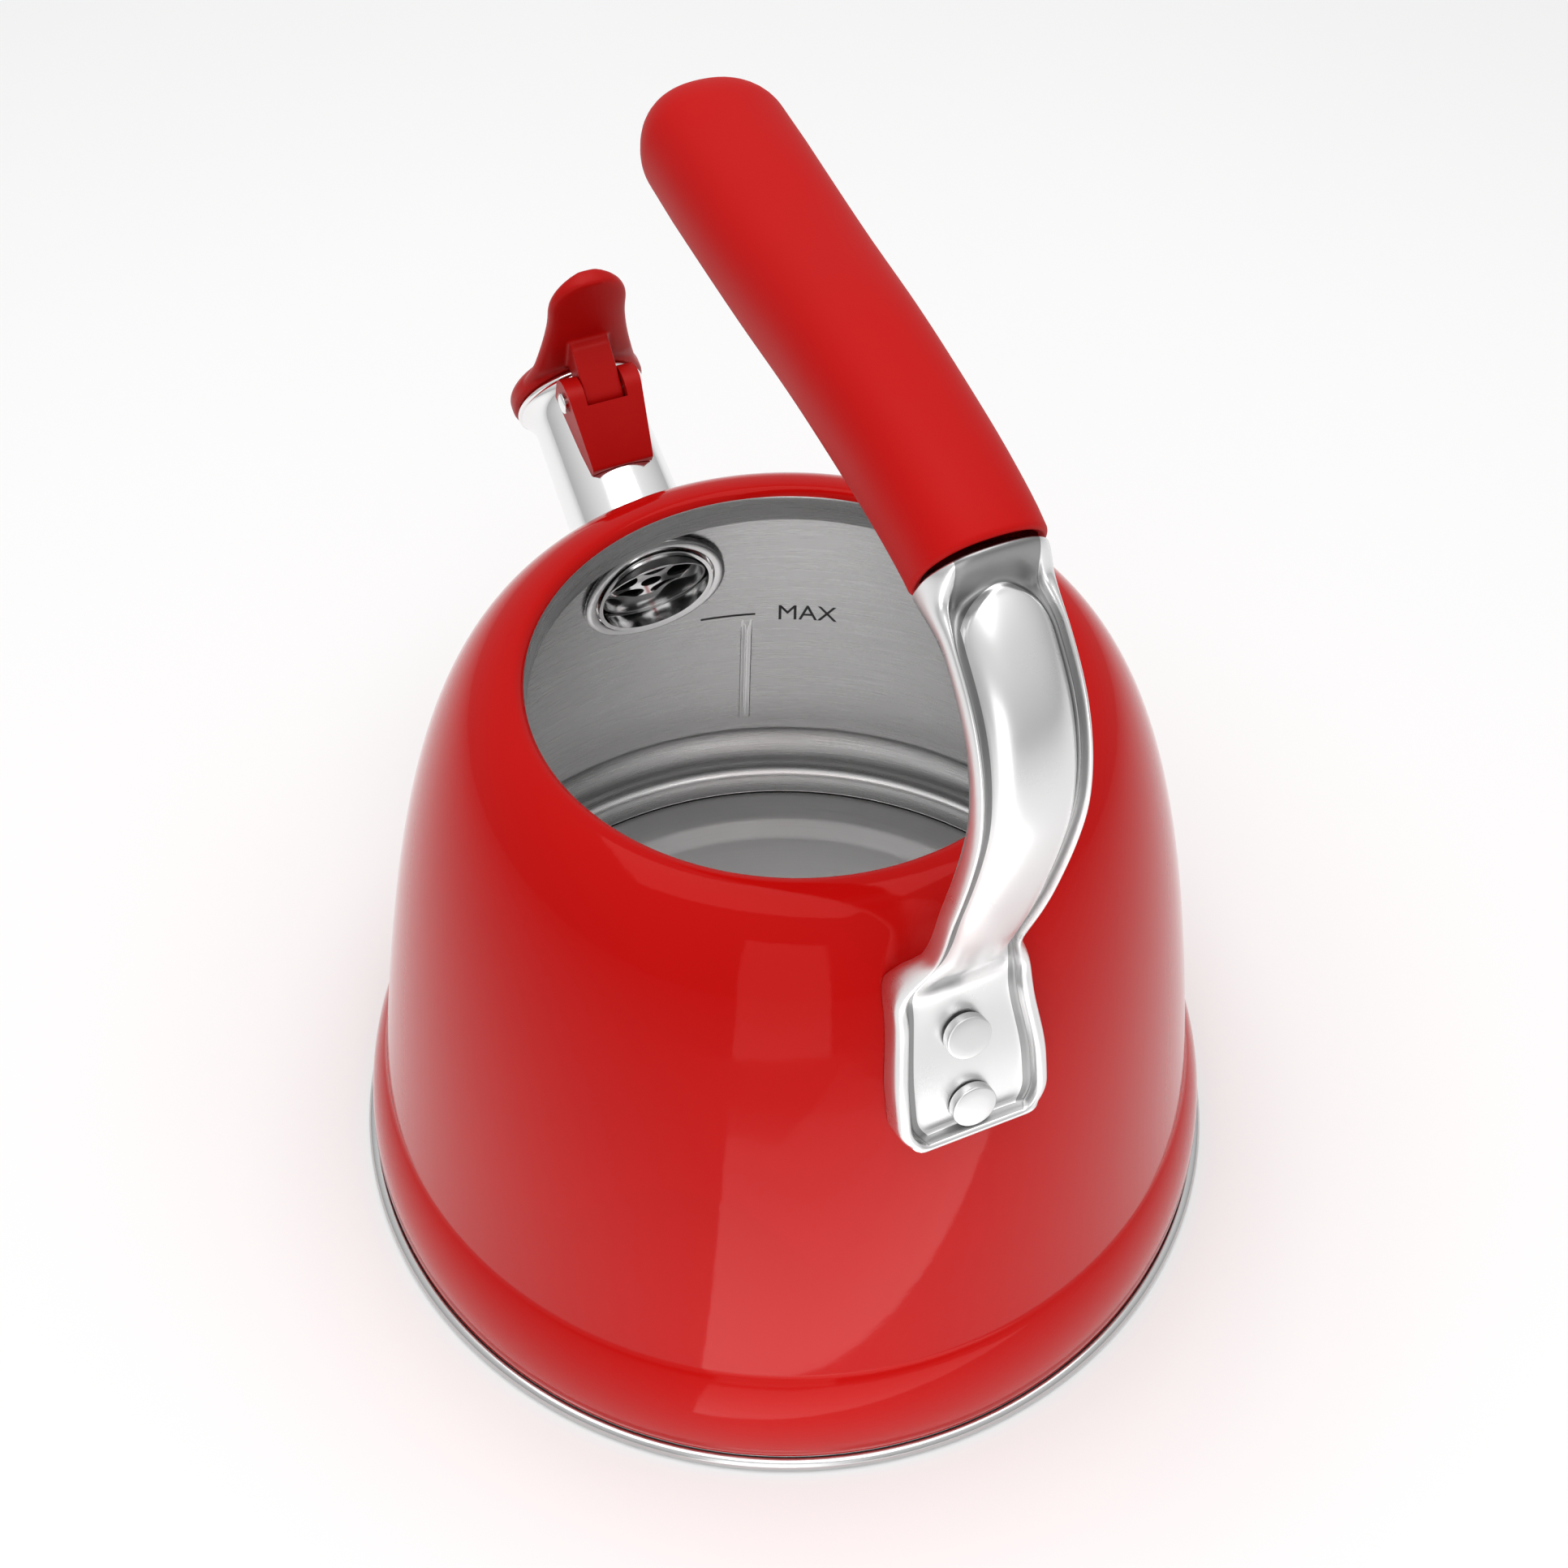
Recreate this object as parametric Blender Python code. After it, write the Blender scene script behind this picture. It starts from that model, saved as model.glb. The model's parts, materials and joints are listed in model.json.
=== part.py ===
"""Stovetop whistling kettle with an open mouth, modelled in metres, +Z up.

The origin is the centre of the base's underside. The handle is on the +X side and the spout on the -X side.
The spout's pieces are modelled in the spout's own frame: Z runs along the tube, X points up from it.
"""

import math

import bmesh
import bpy
from mathutils import Matrix, Vector

# Fits and mesh fineness
FIT = 0.0003  # gap between pieces that touch
HINGE_PLAY = 0.0002  # radial play of the cap on its pin
ROUND_STEPS = 52  # sides of the large turned pieces
TUBE_STEPS = 28  # sides of the spout's turned pieces
SMALL_STEPS = 14  # sides of pins, rivets and screws

# Base
BASE_RADIUS = 0.107
BASE_RIM_HEIGHT = 0.0033
BASE_SHEET = 0.0007
CORE_THICKNESS = 0.002

# Body: a pressed foot, a crease, a leaning wall, a crown and a neck turned down into the mouth
FOOT_INSET = 0.0024  # how far the body's hem stands inside the base's rim
FOOT_HEIGHT = 0.0271
CREASE_INSET = 0.0057  # how far the crease is set in from the hem
CREASE_HEIGHT = 0.0008
BODY_HEIGHT = 0.15105
MOUTH_RADIUS = 0.0558
CROWN_ROUND = 0.0027
WALL_LEAN = 0.158  # radians from upright, just above the crease
WALL_PULL = 0.043
CROWN_PULL = 0.0234
NECK_DEPTH = 0.0085
BODY_SHEET = 0.001
FLANGE_WIDTH = 0.008
FLANGE_ROUND = 0.005
HEM_WIDTH = 0.0016

# Bottom pan inside the body
PAN_SHEET = 0.0007
PAN_FLOOR_RADIUS = 0.080
PAN_STEP_WIDTH = 0.005
PAN_STEP_HEIGHT = 0.0017

# Spout
SPOUT_ANGLE = math.radians(27.0)
SPOUT_HEIGHT = BODY_HEIGHT - 0.04705  # where the tube's axis crosses the wall
SPOUT_LENGTH = 0.0512  # from the axis point in the wall to the middle of the lip
SPOUT_ROOT_RADIUS = 0.0150
SPOUT_NECK_RADIUS = SPOUT_ROOT_RADIUS - 0.0012
SPOUT_SHEET = 0.001
LIP_RADIUS = SPOUT_NECK_RADIUS + 0.0028
LIP_LENGTH = 0.0062
LIP_BEAD = 0.0009  # radius of the lip's rolled edge
SPOUT_INSIDE = 0.0025  # how far the tube stands into the body
COLLAR_RADIUS = SPOUT_ROOT_RADIUS + 0.0036
COLLAR_THICKNESS = 0.0016
STRAINER_PLACE = 0.002  # from the axis point in the wall
STRAINER_SHEET = 0.0008
STRAINER_RIM = 0.005
STRAINER_DISH = 0.003
STRAINER_HOLES = 5
STRAINER_HOLE_RADIUS = 0.0039
STRAINER_EYE_RADIUS = 0.0027

# Hinge clip on the spout
CLIP_LENGTH = 0.0225
CLIP_HALF_WIDTH = 0.0095
CLIP_END_HALF_WIDTH = 0.0078  # at the end away from the hinge
CLIP_SLOT_HALF_WIDTH = 0.0052
CLIP_TOP = 0.0045  # height of the clip's top over the tube
EAR_RADIUS = 0.0056
PIN_BACK = 0.0085  # from the middle of the lip back to the pin
PIN_LIFT = 0.0047  # the pin's height over the tube
PIN_RADIUS = 0.0015
PIN_HEAD_RADIUS = 0.0026
PIN_HEAD_HEIGHT = 0.0008
CLIP_RIVET_RADIUS = 0.0016
CLIP_RIVET_HEAD_RADIUS = 0.003
CLIP_RIVET_HEAD_HEIGHT = 0.001
CLIP_RIVET_GRIP = 0.0022
SPRING_WIRE_RADIUS = 0.00035
SPRING_RADIUS = 0.00225
SPRING_TURNS = 4
SPRING_PITCH = 0.00095
SPRING_LEG = 0.0028
SPRING_SIDES = 6  # sides of the wire

# Whistle cap
CAP_RADIUS = LIP_RADIUS + 0.0006
CAP_DOME = 0.0085
CAP_EDGE = 0.0007
KNUCKLE_RADIUS = 0.0038
KNUCKLE_CHEEK = 0.0022  # wall beside the spring's pocket
TONGUE_RISE = 0.0078  # how far the tongue stands over the pin, inside the lever
LEVER_HEIGHT = 0.0462  # from the spout's axis to the lever's tip
LEVER_HALF_WIDTH = 0.0098
LEVER_THICKNESS = 0.0042
LEVER_LEAN = 0.17
LEVER_WAIST = 0.012  # height of the lever's narrowest place over the lip
LEVER_SPREAD = 0.006  # how much wider each side gets inside the cap
WHISTLE_RADIUS = SPOUT_NECK_RADIUS - 0.0032
WHISTLE_DEPTH = 0.0051
WHISTLE_SHEET = 0.0006
WHISTLE_HOLE_RADIUS = 0.0018
WHISTLE_SEAT = 0.0026
WHISTLE_GAP = 0.0015  # between the whistle's two plates
STEAM_HOLE_RADIUS = 0.003

# Handle bracket
PLATE_BOTTOM = BODY_HEIGHT - 0.04955
PLATE_TOP = BODY_HEIGHT - 0.02055
PLATE_HALF_WIDTH = 0.0168
PLATE_TRAY = -0.0006  # the tray's floor, from the rim's foot
PLATE_ROUND = 0.005  # radius of the bottom corners
PLATE_BACK = 0.009  # how deep the plate is made; the wall's curve trims it
NECK_HALF_WIDTH = 0.0096
ARM_HALF_WIDTH = 0.0106
ARM_CROWN = 0.0040
RIM_HEIGHT = 0.0024
RIM_WIDTH = 0.0014
GROOVE_WIDTH = 0.0012
ARM_BACK = 0.0022
ARM_REACH = 0.0918  # farthest the arm stands from the kettle's axis
ARM_STATIONS = 34  # sections between the plate's corners and the grip
TANG_HALF_WIDTH = 0.007
TANG_HALF_HEIGHT = 0.002
TANG_LENGTH = 0.085
SOCKET_DEPTH = 0.004
SOCKET_HALF_WIDTH = 0.0098
SOCKET_LOW = 0.0048  # below the centreline
SOCKET_HIGH = 0.0053  # above the centreline

# Grip
HANDLE_HEIGHT = BODY_HEIGHT + 0.09495  # the grip's centreline above the table, over the mouth's centre
GRIP_REAR = 0.0685  # the grip's rear end, from the kettle's axis
GRIP_FRONT = 0.0515
GRIP_REAR_HALF_WIDTH = 0.0117
GRIP_FRONT_HALF_WIDTH = 0.0142
GRIP_HALF_HEIGHT = 0.0114
GRIP_EDGE = 0.0008  # rounding at the grip's mouth
GRIP_SCREW_RADIUS = 0.002
GRIP_SCREW_HEAD_RADIUS = 0.0038
GRIP_SCREW_HEAD_HEIGHT = 0.0018
GRIP_SCREW_SUNK = 0.0028  # depth of the recess under the head
GRIP_SCREW_AT = 0.030  # from the kettle's axis

# Handle rivets
RIVET_LOW = BODY_HEIGHT - 0.04235
RIVET_HIGH = BODY_HEIGHT - 0.02615
RIVET_HEAD_RADIUS = 0.0048
RIVET_HEAD_HEIGHT = 0.0024
RIVET_EDGE = 0.0004
RIVET_SHANK_RADIUS = 0.0025
RIVET_INNER_HEAD_RADIUS = 0.004
RIVET_INNER_HEAD_HEIGHT = 0.0012

DRILL_REACH = 0.009  # how far a drill goes each way through a sheet
WELD = 1e-7  # distance at which points count as one


# ---------------------------------------------------------------- shared tools


def material(name, colour, metallic, roughness):
    made = bpy.data.materials.new(name)
    made.use_nodes = True
    shader = made.node_tree.nodes["Principled BSDF"]
    shader.inputs["Base Color"].default_value = (*colour, 1.0)
    shader.inputs["Metallic"].default_value = metallic
    shader.inputs["Roughness"].default_value = roughness
    return made


def add_object(name, bm, look=None, parent=None, place=None):
    """Make an object from a bmesh, with its faces pointing out."""
    bmesh.ops.recalc_face_normals(bm, faces=bm.faces[:])
    mesh = bpy.data.meshes.new(name)
    bm.to_mesh(mesh)
    bm.free()
    if look:
        mesh.materials.append(look)
    mesh.shade_smooth()
    mesh.set_sharp_from_angle(angle=math.radians(35))
    made = bpy.data.objects.new(name, mesh)
    bpy.context.scene.collection.objects.link(made)
    if parent:
        made.parent = parent
    if place:
        made.matrix_local = place
    return made


def add_frame(name, place, parent=None):
    frame = bpy.data.objects.new(name, None)
    bpy.context.scene.collection.objects.link(frame)
    frame.parent = parent
    frame.matrix_local = place
    return frame


def combine(target, other, operation):
    """Join, cut or keep the overlap of two solids; the other one becomes a hidden helper."""
    other.hide_render = True
    other.display_type = "WIRE"
    step = target.modifiers.new(operation.title(), "BOOLEAN")
    step.operation = operation
    step.object = other
    return target


def bezier(ends, steps):
    """Points of a cubic curve given by its end, two handles and other end."""
    points = []
    for step in range(steps + 1):
        t = step / steps
        weights = ((1 - t) ** 3, 3 * (1 - t) ** 2 * t, 3 * (1 - t) * t**2, t**3)
        points.append(tuple(sum(w * p[axis] for w, p in zip(weights, ends)) for axis in (0, 1)))
    return points


def arc(centre, radius, start, end, steps):
    """Points of an arc in degrees, about a centre."""
    angles = [math.radians(start + (end - start) * step / steps) for step in range(steps + 1)]
    return [(centre[0] + radius * math.cos(a), centre[1] + radius * math.sin(a)) for a in angles]


def offset_line(points, distance):
    """Move an open line sideways, to the right of its direction for a positive distance."""
    moved = []
    for index, point in enumerate(points):
        before = points[max(index - 1, 0)]
        after = points[min(index + 1, len(points) - 1)]
        along = Vector((after[0] - before[0], after[1] - before[1])).normalized()
        moved.append((point[0] + along.y * distance, point[1] - along.x * distance))
    return moved


def turned(outline, steps):
    """Turn a closed outline of (radius, height) points about Z."""
    bm = bmesh.new()
    corners = [bm.verts.new((radius, 0, height)) for radius, height in outline]
    edges = [bm.edges.new(pair) for pair in zip(corners, corners[1:] + corners[:1])]
    on_axis = [edge for edge in edges if all(v.co.x < WELD for v in edge.verts)]
    for edge in on_axis:
        bm.edges.remove(edge)
    bmesh.ops.spin(
        bm,
        geom=bm.verts[:] + bm.edges[:],
        axis=(0, 0, 1),
        cent=(0, 0, 0),
        angle=math.tau,
        steps=steps,
        use_merge=True,
    )
    bmesh.ops.remove_doubles(bm, verts=bm.verts[:], dist=WELD)
    return bm


def skin(rings):
    """Close a row of equal rings of points into one solid."""
    bm = bmesh.new()
    rows = [[bm.verts.new(point) for point in ring] for ring in rings]
    for row, following in zip(rows, rows[1:]):
        for index in range(len(row)):
            right = (index + 1) % len(row)
            bm.faces.new((row[index], row[right], following[right], following[index]))
    bm.faces.new(rows[0])
    bm.faces.new(rows[-1])
    return bm


def slab(outline, low, high):
    """Extrude an outline of (x, z) points along Y."""
    bm = bmesh.new()
    face = bm.faces.new([bm.verts.new((x, low, z)) for x, z in outline])
    made = bmesh.ops.extrude_face_region(bm, geom=[face])["geom"]
    moved = [item for item in made if isinstance(item, bmesh.types.BMVert)]
    bmesh.ops.translate(bm, verts=moved, vec=(0, high - low, 0))
    return bm


def rod(radius, low, high, steps=SMALL_STEPS):
    """A plain round bar along Z."""
    return turned([(0, low), (radius, low), (radius, high), (0, high)], steps)


def along_y(bm):
    """Turn a piece that was made along Z so that it lies along Y."""
    bmesh.ops.rotate(bm, verts=bm.verts[:], cent=(0, 0, 0), matrix=Matrix.Rotation(math.pi / 2, 3, "X"))
    return bm


# ---------------------------------------------------------------- outlines that several pieces share

HEM_RADIUS = BASE_RADIUS - FOOT_INSET
HEM_HEIGHT = BASE_RIM_HEIGHT + FIT
CREASE_RADIUS = HEM_RADIUS - CREASE_INSET
CREASE_TOP = HEM_HEIGHT + FOOT_HEIGHT + CREASE_HEIGHT
PAN_FLOOR = BASE_SHEET + FIT + CORE_THICKNESS + FIT
PAN_FLANGE = PAN_FLOOR + PAN_STEP_HEIGHT
FLANGE_UNDER = PAN_FLANGE + PAN_SHEET + FIT


def foot_line():
    """The pressed foot, from the hem up to the crease."""
    start = (HEM_RADIUS, HEM_HEIGHT)
    lower = (HEM_RADIUS + 0.16 * CREASE_INSET, HEM_HEIGHT + 0.42 * FOOT_HEIGHT)
    upper = (HEM_RADIUS - 0.35 * CREASE_INSET, HEM_HEIGHT + 0.84 * FOOT_HEIGHT)
    end = (CREASE_RADIUS + 0.02 * CREASE_INSET, HEM_HEIGHT + FOOT_HEIGHT)
    return bezier((start, lower, upper, end), 6)


def wall_line():
    """The leaning wall, from the crease up to the crown."""
    start = (CREASE_RADIUS, CREASE_TOP)
    lower = (CREASE_RADIUS - WALL_PULL * math.sin(WALL_LEAN), CREASE_TOP + WALL_PULL * math.cos(WALL_LEAN))
    end = (MOUTH_RADIUS + CROWN_ROUND, BODY_HEIGHT)
    upper = (end[0] + CROWN_PULL, BODY_HEIGHT)
    return bezier((start, lower, upper, end), 13)


def neck_line():
    """The crown's turn into the mouth and the neck below it."""
    centre = (MOUTH_RADIUS + CROWN_ROUND, BODY_HEIGHT - CROWN_ROUND)
    return arc(centre, CROWN_ROUND, 90, 180, 3)[1:] + [(MOUTH_RADIUS, BODY_HEIGHT - NECK_DEPTH)]


def body_surface(offset):
    """A solid whose skin is the body's outside, moved out by the offset. It cuts pieces to fit the wall."""
    line = offset_line(foot_line() + wall_line(), offset)
    top = line[-1][1]
    return turned([(0, line[0][1])] + line + [(0, top)], ROUND_STEPS)


def wall_at(height):
    """The wall's outside radius at a height, and its outward normal as (x, z)."""
    line = wall_line()
    for low, high in zip(line, line[1:]):
        if low[1] <= height <= high[1] or high is line[-1]:
            share = (height - low[1]) / (high[1] - low[1])
            along = Vector((high[0] - low[0], high[1] - low[1])).normalized()
            return low[0] + share * (high[0] - low[0]), (along.y, -along.x)


def tube_radius(place):
    """The spout tube's outside radius along its straight part."""
    share = place / (SPOUT_LENGTH - LIP_LENGTH)
    return SPOUT_ROOT_RADIUS + share * (SPOUT_NECK_RADIUS - SPOUT_ROOT_RADIUS)


SPOUT_START = -0.012  # well inside the body; the wall's curve trims it
PIN_PLACE = SPOUT_LENGTH - PIN_BACK
PIN_HEIGHT = tube_radius(PIN_PLACE) + PIN_LIFT
CAP_SEAT = SPOUT_LENGTH + 0.0008 + FIT
CLIP_END = PIN_PLACE + EAR_RADIUS - 0.001
CLIP_START = CLIP_END - CLIP_LENGTH
CLIP_RIVET_PLACE = CLIP_START + 0.3 * CLIP_LENGTH


def spout_place():
    """The spout's frame: Z along the tube, away from the body, and X up from it."""
    radius = wall_at(SPOUT_HEIGHT)[0]
    turn = Matrix.Rotation(SPOUT_ANGLE - math.pi / 2, 4, "Y")
    return Matrix.Translation((-radius, 0, SPOUT_HEIGHT)) @ turn


# ---------------------------------------------------------------- base and body


def make_base(steel, aluminium):
    """Steel cap with a rounded rim, an aluminium core in it and the pan that closes the body."""
    rim = arc((BASE_RADIUS - BASE_RIM_HEIGHT / 2, BASE_RIM_HEIGHT / 2), BASE_RIM_HEIGHT / 2, -90, 90, 6)
    inner = HEM_RADIUS + FIT * 2 / 3
    cap = [(0, 0)] + rim + [(inner, BASE_RIM_HEIGHT), (inner, BASE_SHEET), (0, BASE_SHEET)]
    add_object("base_cap", turned(cap, ROUND_STEPS), steel)

    core_low = BASE_SHEET + FIT
    core = rod(inner - FIT, core_low, core_low + CORE_THICKNESS, ROUND_STEPS)
    add_object("base_core", core, aluminium)

    edge = HEM_RADIUS - HEM_WIDTH - FIT
    step_out = PAN_FLOOR_RADIUS + PAN_STEP_WIDTH
    pan = [
        (0, PAN_FLOOR),
        (PAN_FLOOR_RADIUS, PAN_FLOOR),
        (step_out, PAN_FLANGE),
        (edge, PAN_FLANGE),
        (edge, PAN_FLANGE + PAN_SHEET),
        (step_out, PAN_FLANGE + PAN_SHEET),
        (PAN_FLOOR_RADIUS, PAN_FLOOR + PAN_SHEET),
        (0, PAN_FLOOR + PAN_SHEET),
    ]
    add_object("bottom_pan", turned(pan, ROUND_STEPS), steel)


def make_body(enamel, spout_frame):
    """Pressed steel body with a flange turned in at its foot, drilled for the spout and the rivets."""
    foot = foot_line()
    outer = foot + wall_line() + neck_line()
    inner = offset_line(outer, -BODY_SHEET)
    inner[-1] = (outer[-1][0] + BODY_SHEET, outer[-1][1])
    inner_foot = inner[3:]
    flange_top = FLANGE_UNDER + BODY_SHEET * 0.8
    corner = (inner_foot[0][0] - FLANGE_ROUND, flange_top + FLANGE_ROUND)
    flange_edge = HEM_RADIUS - HEM_WIDTH - FLANGE_WIDTH
    hem_inside = HEM_RADIUS - HEM_WIDTH
    flange = arc(corner, FLANGE_ROUND, -5, -90, 3)
    flange += [(flange_edge, flange_top), (flange_edge, FLANGE_UNDER)]
    flange += [(hem_inside, FLANGE_UNDER), (hem_inside, HEM_HEIGHT)]
    body = add_object("body_shell", turned(outer + inner_foot[::-1] + flange, ROUND_STEPS), enamel)

    drill = rod(tube_radius(SPOUT_START / 4) + 2 * FIT, SPOUT_START, SPOUT_LENGTH / 2, TUBE_STEPS)
    here = Matrix.Identity(4)
    combine(body, add_object("spout_hole", drill, None, spout_frame, here), "DIFFERENCE")
    for height in (RIVET_LOW, RIVET_HIGH):
        hole = rod(RIVET_SHANK_RADIUS + FIT, -DRILL_REACH, DRILL_REACH)
        combine(body, add_object("rivet_hole", hole, place=rivet_place(height)), "DIFFERENCE")


# ---------------------------------------------------------------- spout


def spout_line():
    """The tube's outside, from inside the body to the rolled lip, as (radius, place) points."""
    start = (tube_radius(SPOUT_START), SPOUT_START)
    neck = (SPOUT_NECK_RADIUS, SPOUT_LENGTH - LIP_LENGTH)
    straight = (SPOUT_NECK_RADIUS, SPOUT_LENGTH - 0.4 * LIP_LENGTH)
    flare = (LIP_RADIUS - 0.7 * LIP_BEAD, SPOUT_LENGTH - 0.8 * LIP_BEAD)
    below = (flare[0], flare[1] - 0.2 * LIP_LENGTH)
    return [start] + bezier((neck, straight, below, flare), 4)


def make_spout(steel, wire, spout_frame):
    """Tapered tube with a rolled lip, a ring that clinches it inside the wall, and a strainer."""
    outer = spout_line()
    inner = offset_line(outer, -SPOUT_SHEET)
    lip = arc((LIP_RADIUS - LIP_BEAD, SPOUT_LENGTH), LIP_BEAD, -30, 150, 4)
    here = Matrix.Identity(4)
    tube = add_object("spout_tube", turned(outer + lip + inner[::-1], TUBE_STEPS), steel, spout_frame, here)
    trim = add_object("tube_trim", body_surface(-BODY_SHEET - SPOUT_INSIDE))
    combine(tube, trim, "DIFFERENCE")
    hole = rod(CLIP_RIVET_RADIUS + FIT, 0, PIN_HEIGHT)
    place = Matrix.Translation((0, 0, CLIP_RIVET_PLACE)) @ Matrix.Rotation(math.pi / 2, 4, "Y")
    combine(tube, add_object("clip_rivet_hole", hole, None, spout_frame, place), "DIFFERENCE")

    bore = tube_radius(0) + 2 * FIT
    reach = SPOUT_LENGTH / 3
    ring = [(bore, -reach), (COLLAR_RADIUS, -reach), (COLLAR_RADIUS, reach), (bore, reach)]
    collar = add_object("spout_collar", turned(ring, TUBE_STEPS), steel, spout_frame, here)
    combine(collar, add_object("collar_back", body_surface(-BODY_SHEET - FIT)), "INTERSECT")
    front = body_surface(-BODY_SHEET - FIT - COLLAR_THICKNESS)
    combine(collar, add_object("collar_front", front), "DIFFERENCE")

    seat = tube_radius(0) - SPOUT_SHEET - FIT
    place = STRAINER_PLACE
    dish = place - STRAINER_DISH
    outline = [
        (0, dish),
        (seat * 0.75, dish + STRAINER_DISH * 0.2),
        (seat - STRAINER_SHEET, place),
        (seat - STRAINER_SHEET, place - STRAINER_RIM),
        (seat, place - STRAINER_RIM),
        (seat, place + STRAINER_SHEET),
        (seat * 0.75, dish + STRAINER_DISH * 0.2 + STRAINER_SHEET),
        (0, dish + STRAINER_SHEET),
    ]
    strainer = add_object("spout_strainer", turned(outline, TUBE_STEPS), wire, spout_frame, here)
    out = seat - 2 * STRAINER_SHEET - STRAINER_HOLE_RADIUS
    for index in range(STRAINER_HOLES):
        turn = Matrix.Rotation(math.tau * index / STRAINER_HOLES, 4, "Z") @ Matrix.Translation((out, 0, 0))
        drill = rod(STRAINER_HOLE_RADIUS, -DRILL_REACH, DRILL_REACH)
        combine(strainer, add_object("strainer_hole", drill, None, spout_frame, turn), "DIFFERENCE")
    eye = rod(STRAINER_EYE_RADIUS, -DRILL_REACH, DRILL_REACH)
    combine(strainer, add_object("strainer_eye", eye, None, spout_frame, here), "DIFFERENCE")


# ---------------------------------------------------------------- hinge clip, pin and spring


def make_clip(plastic, steel, spout_frame, hinge_frame):
    """Saddle riveted to the tube, with two ears that hold the cap's pin and its spring."""
    top = tube_radius(CLIP_START) + CLIP_TOP
    low = math.sqrt(tube_radius(CLIP_START) ** 2 - CLIP_HALF_WIDTH**2) + 0.0006
    ear = arc((PIN_HEIGHT, PIN_PLACE), EAR_RADIUS, -60, 80, 7)
    outline = [(low, CLIP_START + 0.001), (top - 0.0018, CLIP_START), (top, CLIP_START + 0.003)]
    outline += ear + [(low + 0.002, CLIP_END)]
    here = Matrix.Identity(4)
    block = slab(outline, -CLIP_HALF_WIDTH, CLIP_HALF_WIDTH)
    for corner in block.verts:
        far = max(0, (PIN_PLACE - corner.co.z) / (PIN_PLACE - CLIP_START))
        corner.co.y *= 1 - far * (1 - CLIP_END_HALF_WIDTH / CLIP_HALF_WIDTH)
    clip = add_object("spout_clip", block, plastic, spout_frame, here)

    saddle = turned(
        [
            (0, CLIP_START - 0.01),
            (tube_radius(CLIP_START - 0.01) + FIT, CLIP_START - 0.01),
            (SPOUT_NECK_RADIUS + FIT, SPOUT_LENGTH - LIP_LENGTH),
            (LIP_RADIUS - 0.001, SPOUT_LENGTH - 0.0005),
            (0, SPOUT_LENGTH - 0.0005),
        ],
        TUBE_STEPS,
    )
    combine(clip, add_object("clip_saddle", saddle, None, spout_frame, here), "DIFFERENCE")
    slot_start = PIN_PLACE - KNUCKLE_RADIUS - FIT
    slot_end = CLIP_END + EAR_RADIUS
    slot_low = low - EAR_RADIUS
    slot_top = PIN_HEIGHT + 2 * EAR_RADIUS
    outline = [(slot_low, slot_start), (slot_top, slot_start), (slot_top, slot_end), (slot_low, slot_end)]
    slot = slab(outline, -CLIP_SLOT_HALF_WIDTH, CLIP_SLOT_HALF_WIDTH)
    combine(clip, add_object("clip_slot", slot, None, spout_frame, here), "DIFFERENCE")
    hole = along_y(rod(PIN_RADIUS + HINGE_PLAY, -2 * CLIP_HALF_WIDTH, 2 * CLIP_HALF_WIDTH))
    combine(clip, add_object("clip_pin_hole", hole, None, hinge_frame, here), "DIFFERENCE")
    blind = rod(CLIP_RIVET_RADIUS + FIT, 0, tube_radius(CLIP_RIVET_PLACE) + CLIP_RIVET_GRIP + FIT)
    place = Matrix.Translation((0, 0, CLIP_RIVET_PLACE)) @ Matrix.Rotation(math.pi / 2, 4, "Y")
    combine(clip, add_object("clip_blind_hole", blind, None, spout_frame, place), "DIFFERENCE")

    inside = tube_radius(CLIP_RIVET_PLACE) - SPOUT_SHEET
    under = math.sqrt(inside**2 - CLIP_RIVET_HEAD_RADIUS**2) - FIT
    rivet = [
        (0, under - CLIP_RIVET_HEAD_HEIGHT),
        (CLIP_RIVET_HEAD_RADIUS * 0.7, under - CLIP_RIVET_HEAD_HEIGHT),
        (CLIP_RIVET_HEAD_RADIUS, under - CLIP_RIVET_HEAD_HEIGHT * 0.5),
        (CLIP_RIVET_HEAD_RADIUS, under),
        (CLIP_RIVET_RADIUS, under),
        (CLIP_RIVET_RADIUS, tube_radius(CLIP_RIVET_PLACE) + CLIP_RIVET_GRIP),
        (0, tube_radius(CLIP_RIVET_PLACE) + CLIP_RIVET_GRIP),
    ]
    add_object("clip_rivet", turned(rivet, SMALL_STEPS), steel, spout_frame, place)

    half = CLIP_HALF_WIDTH + FIT
    end = half + PIN_HEAD_HEIGHT
    pin = [
        (0, -end),
        (PIN_HEAD_RADIUS * 0.6, -end + PIN_HEAD_HEIGHT * 0.15),
        (PIN_HEAD_RADIUS, -half - PIN_HEAD_HEIGHT * 0.4),
        (PIN_HEAD_RADIUS, -half),
        (PIN_RADIUS, -half),
        (PIN_RADIUS, half),
        (PIN_HEAD_RADIUS, half),
        (PIN_HEAD_RADIUS, half + PIN_HEAD_HEIGHT * 0.4),
        (PIN_HEAD_RADIUS * 0.6, end - PIN_HEAD_HEIGHT * 0.15),
        (0, end),
    ]
    add_object("hinge_pin", along_y(turned(pin, SMALL_STEPS)), steel, hinge_frame, here)


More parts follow.
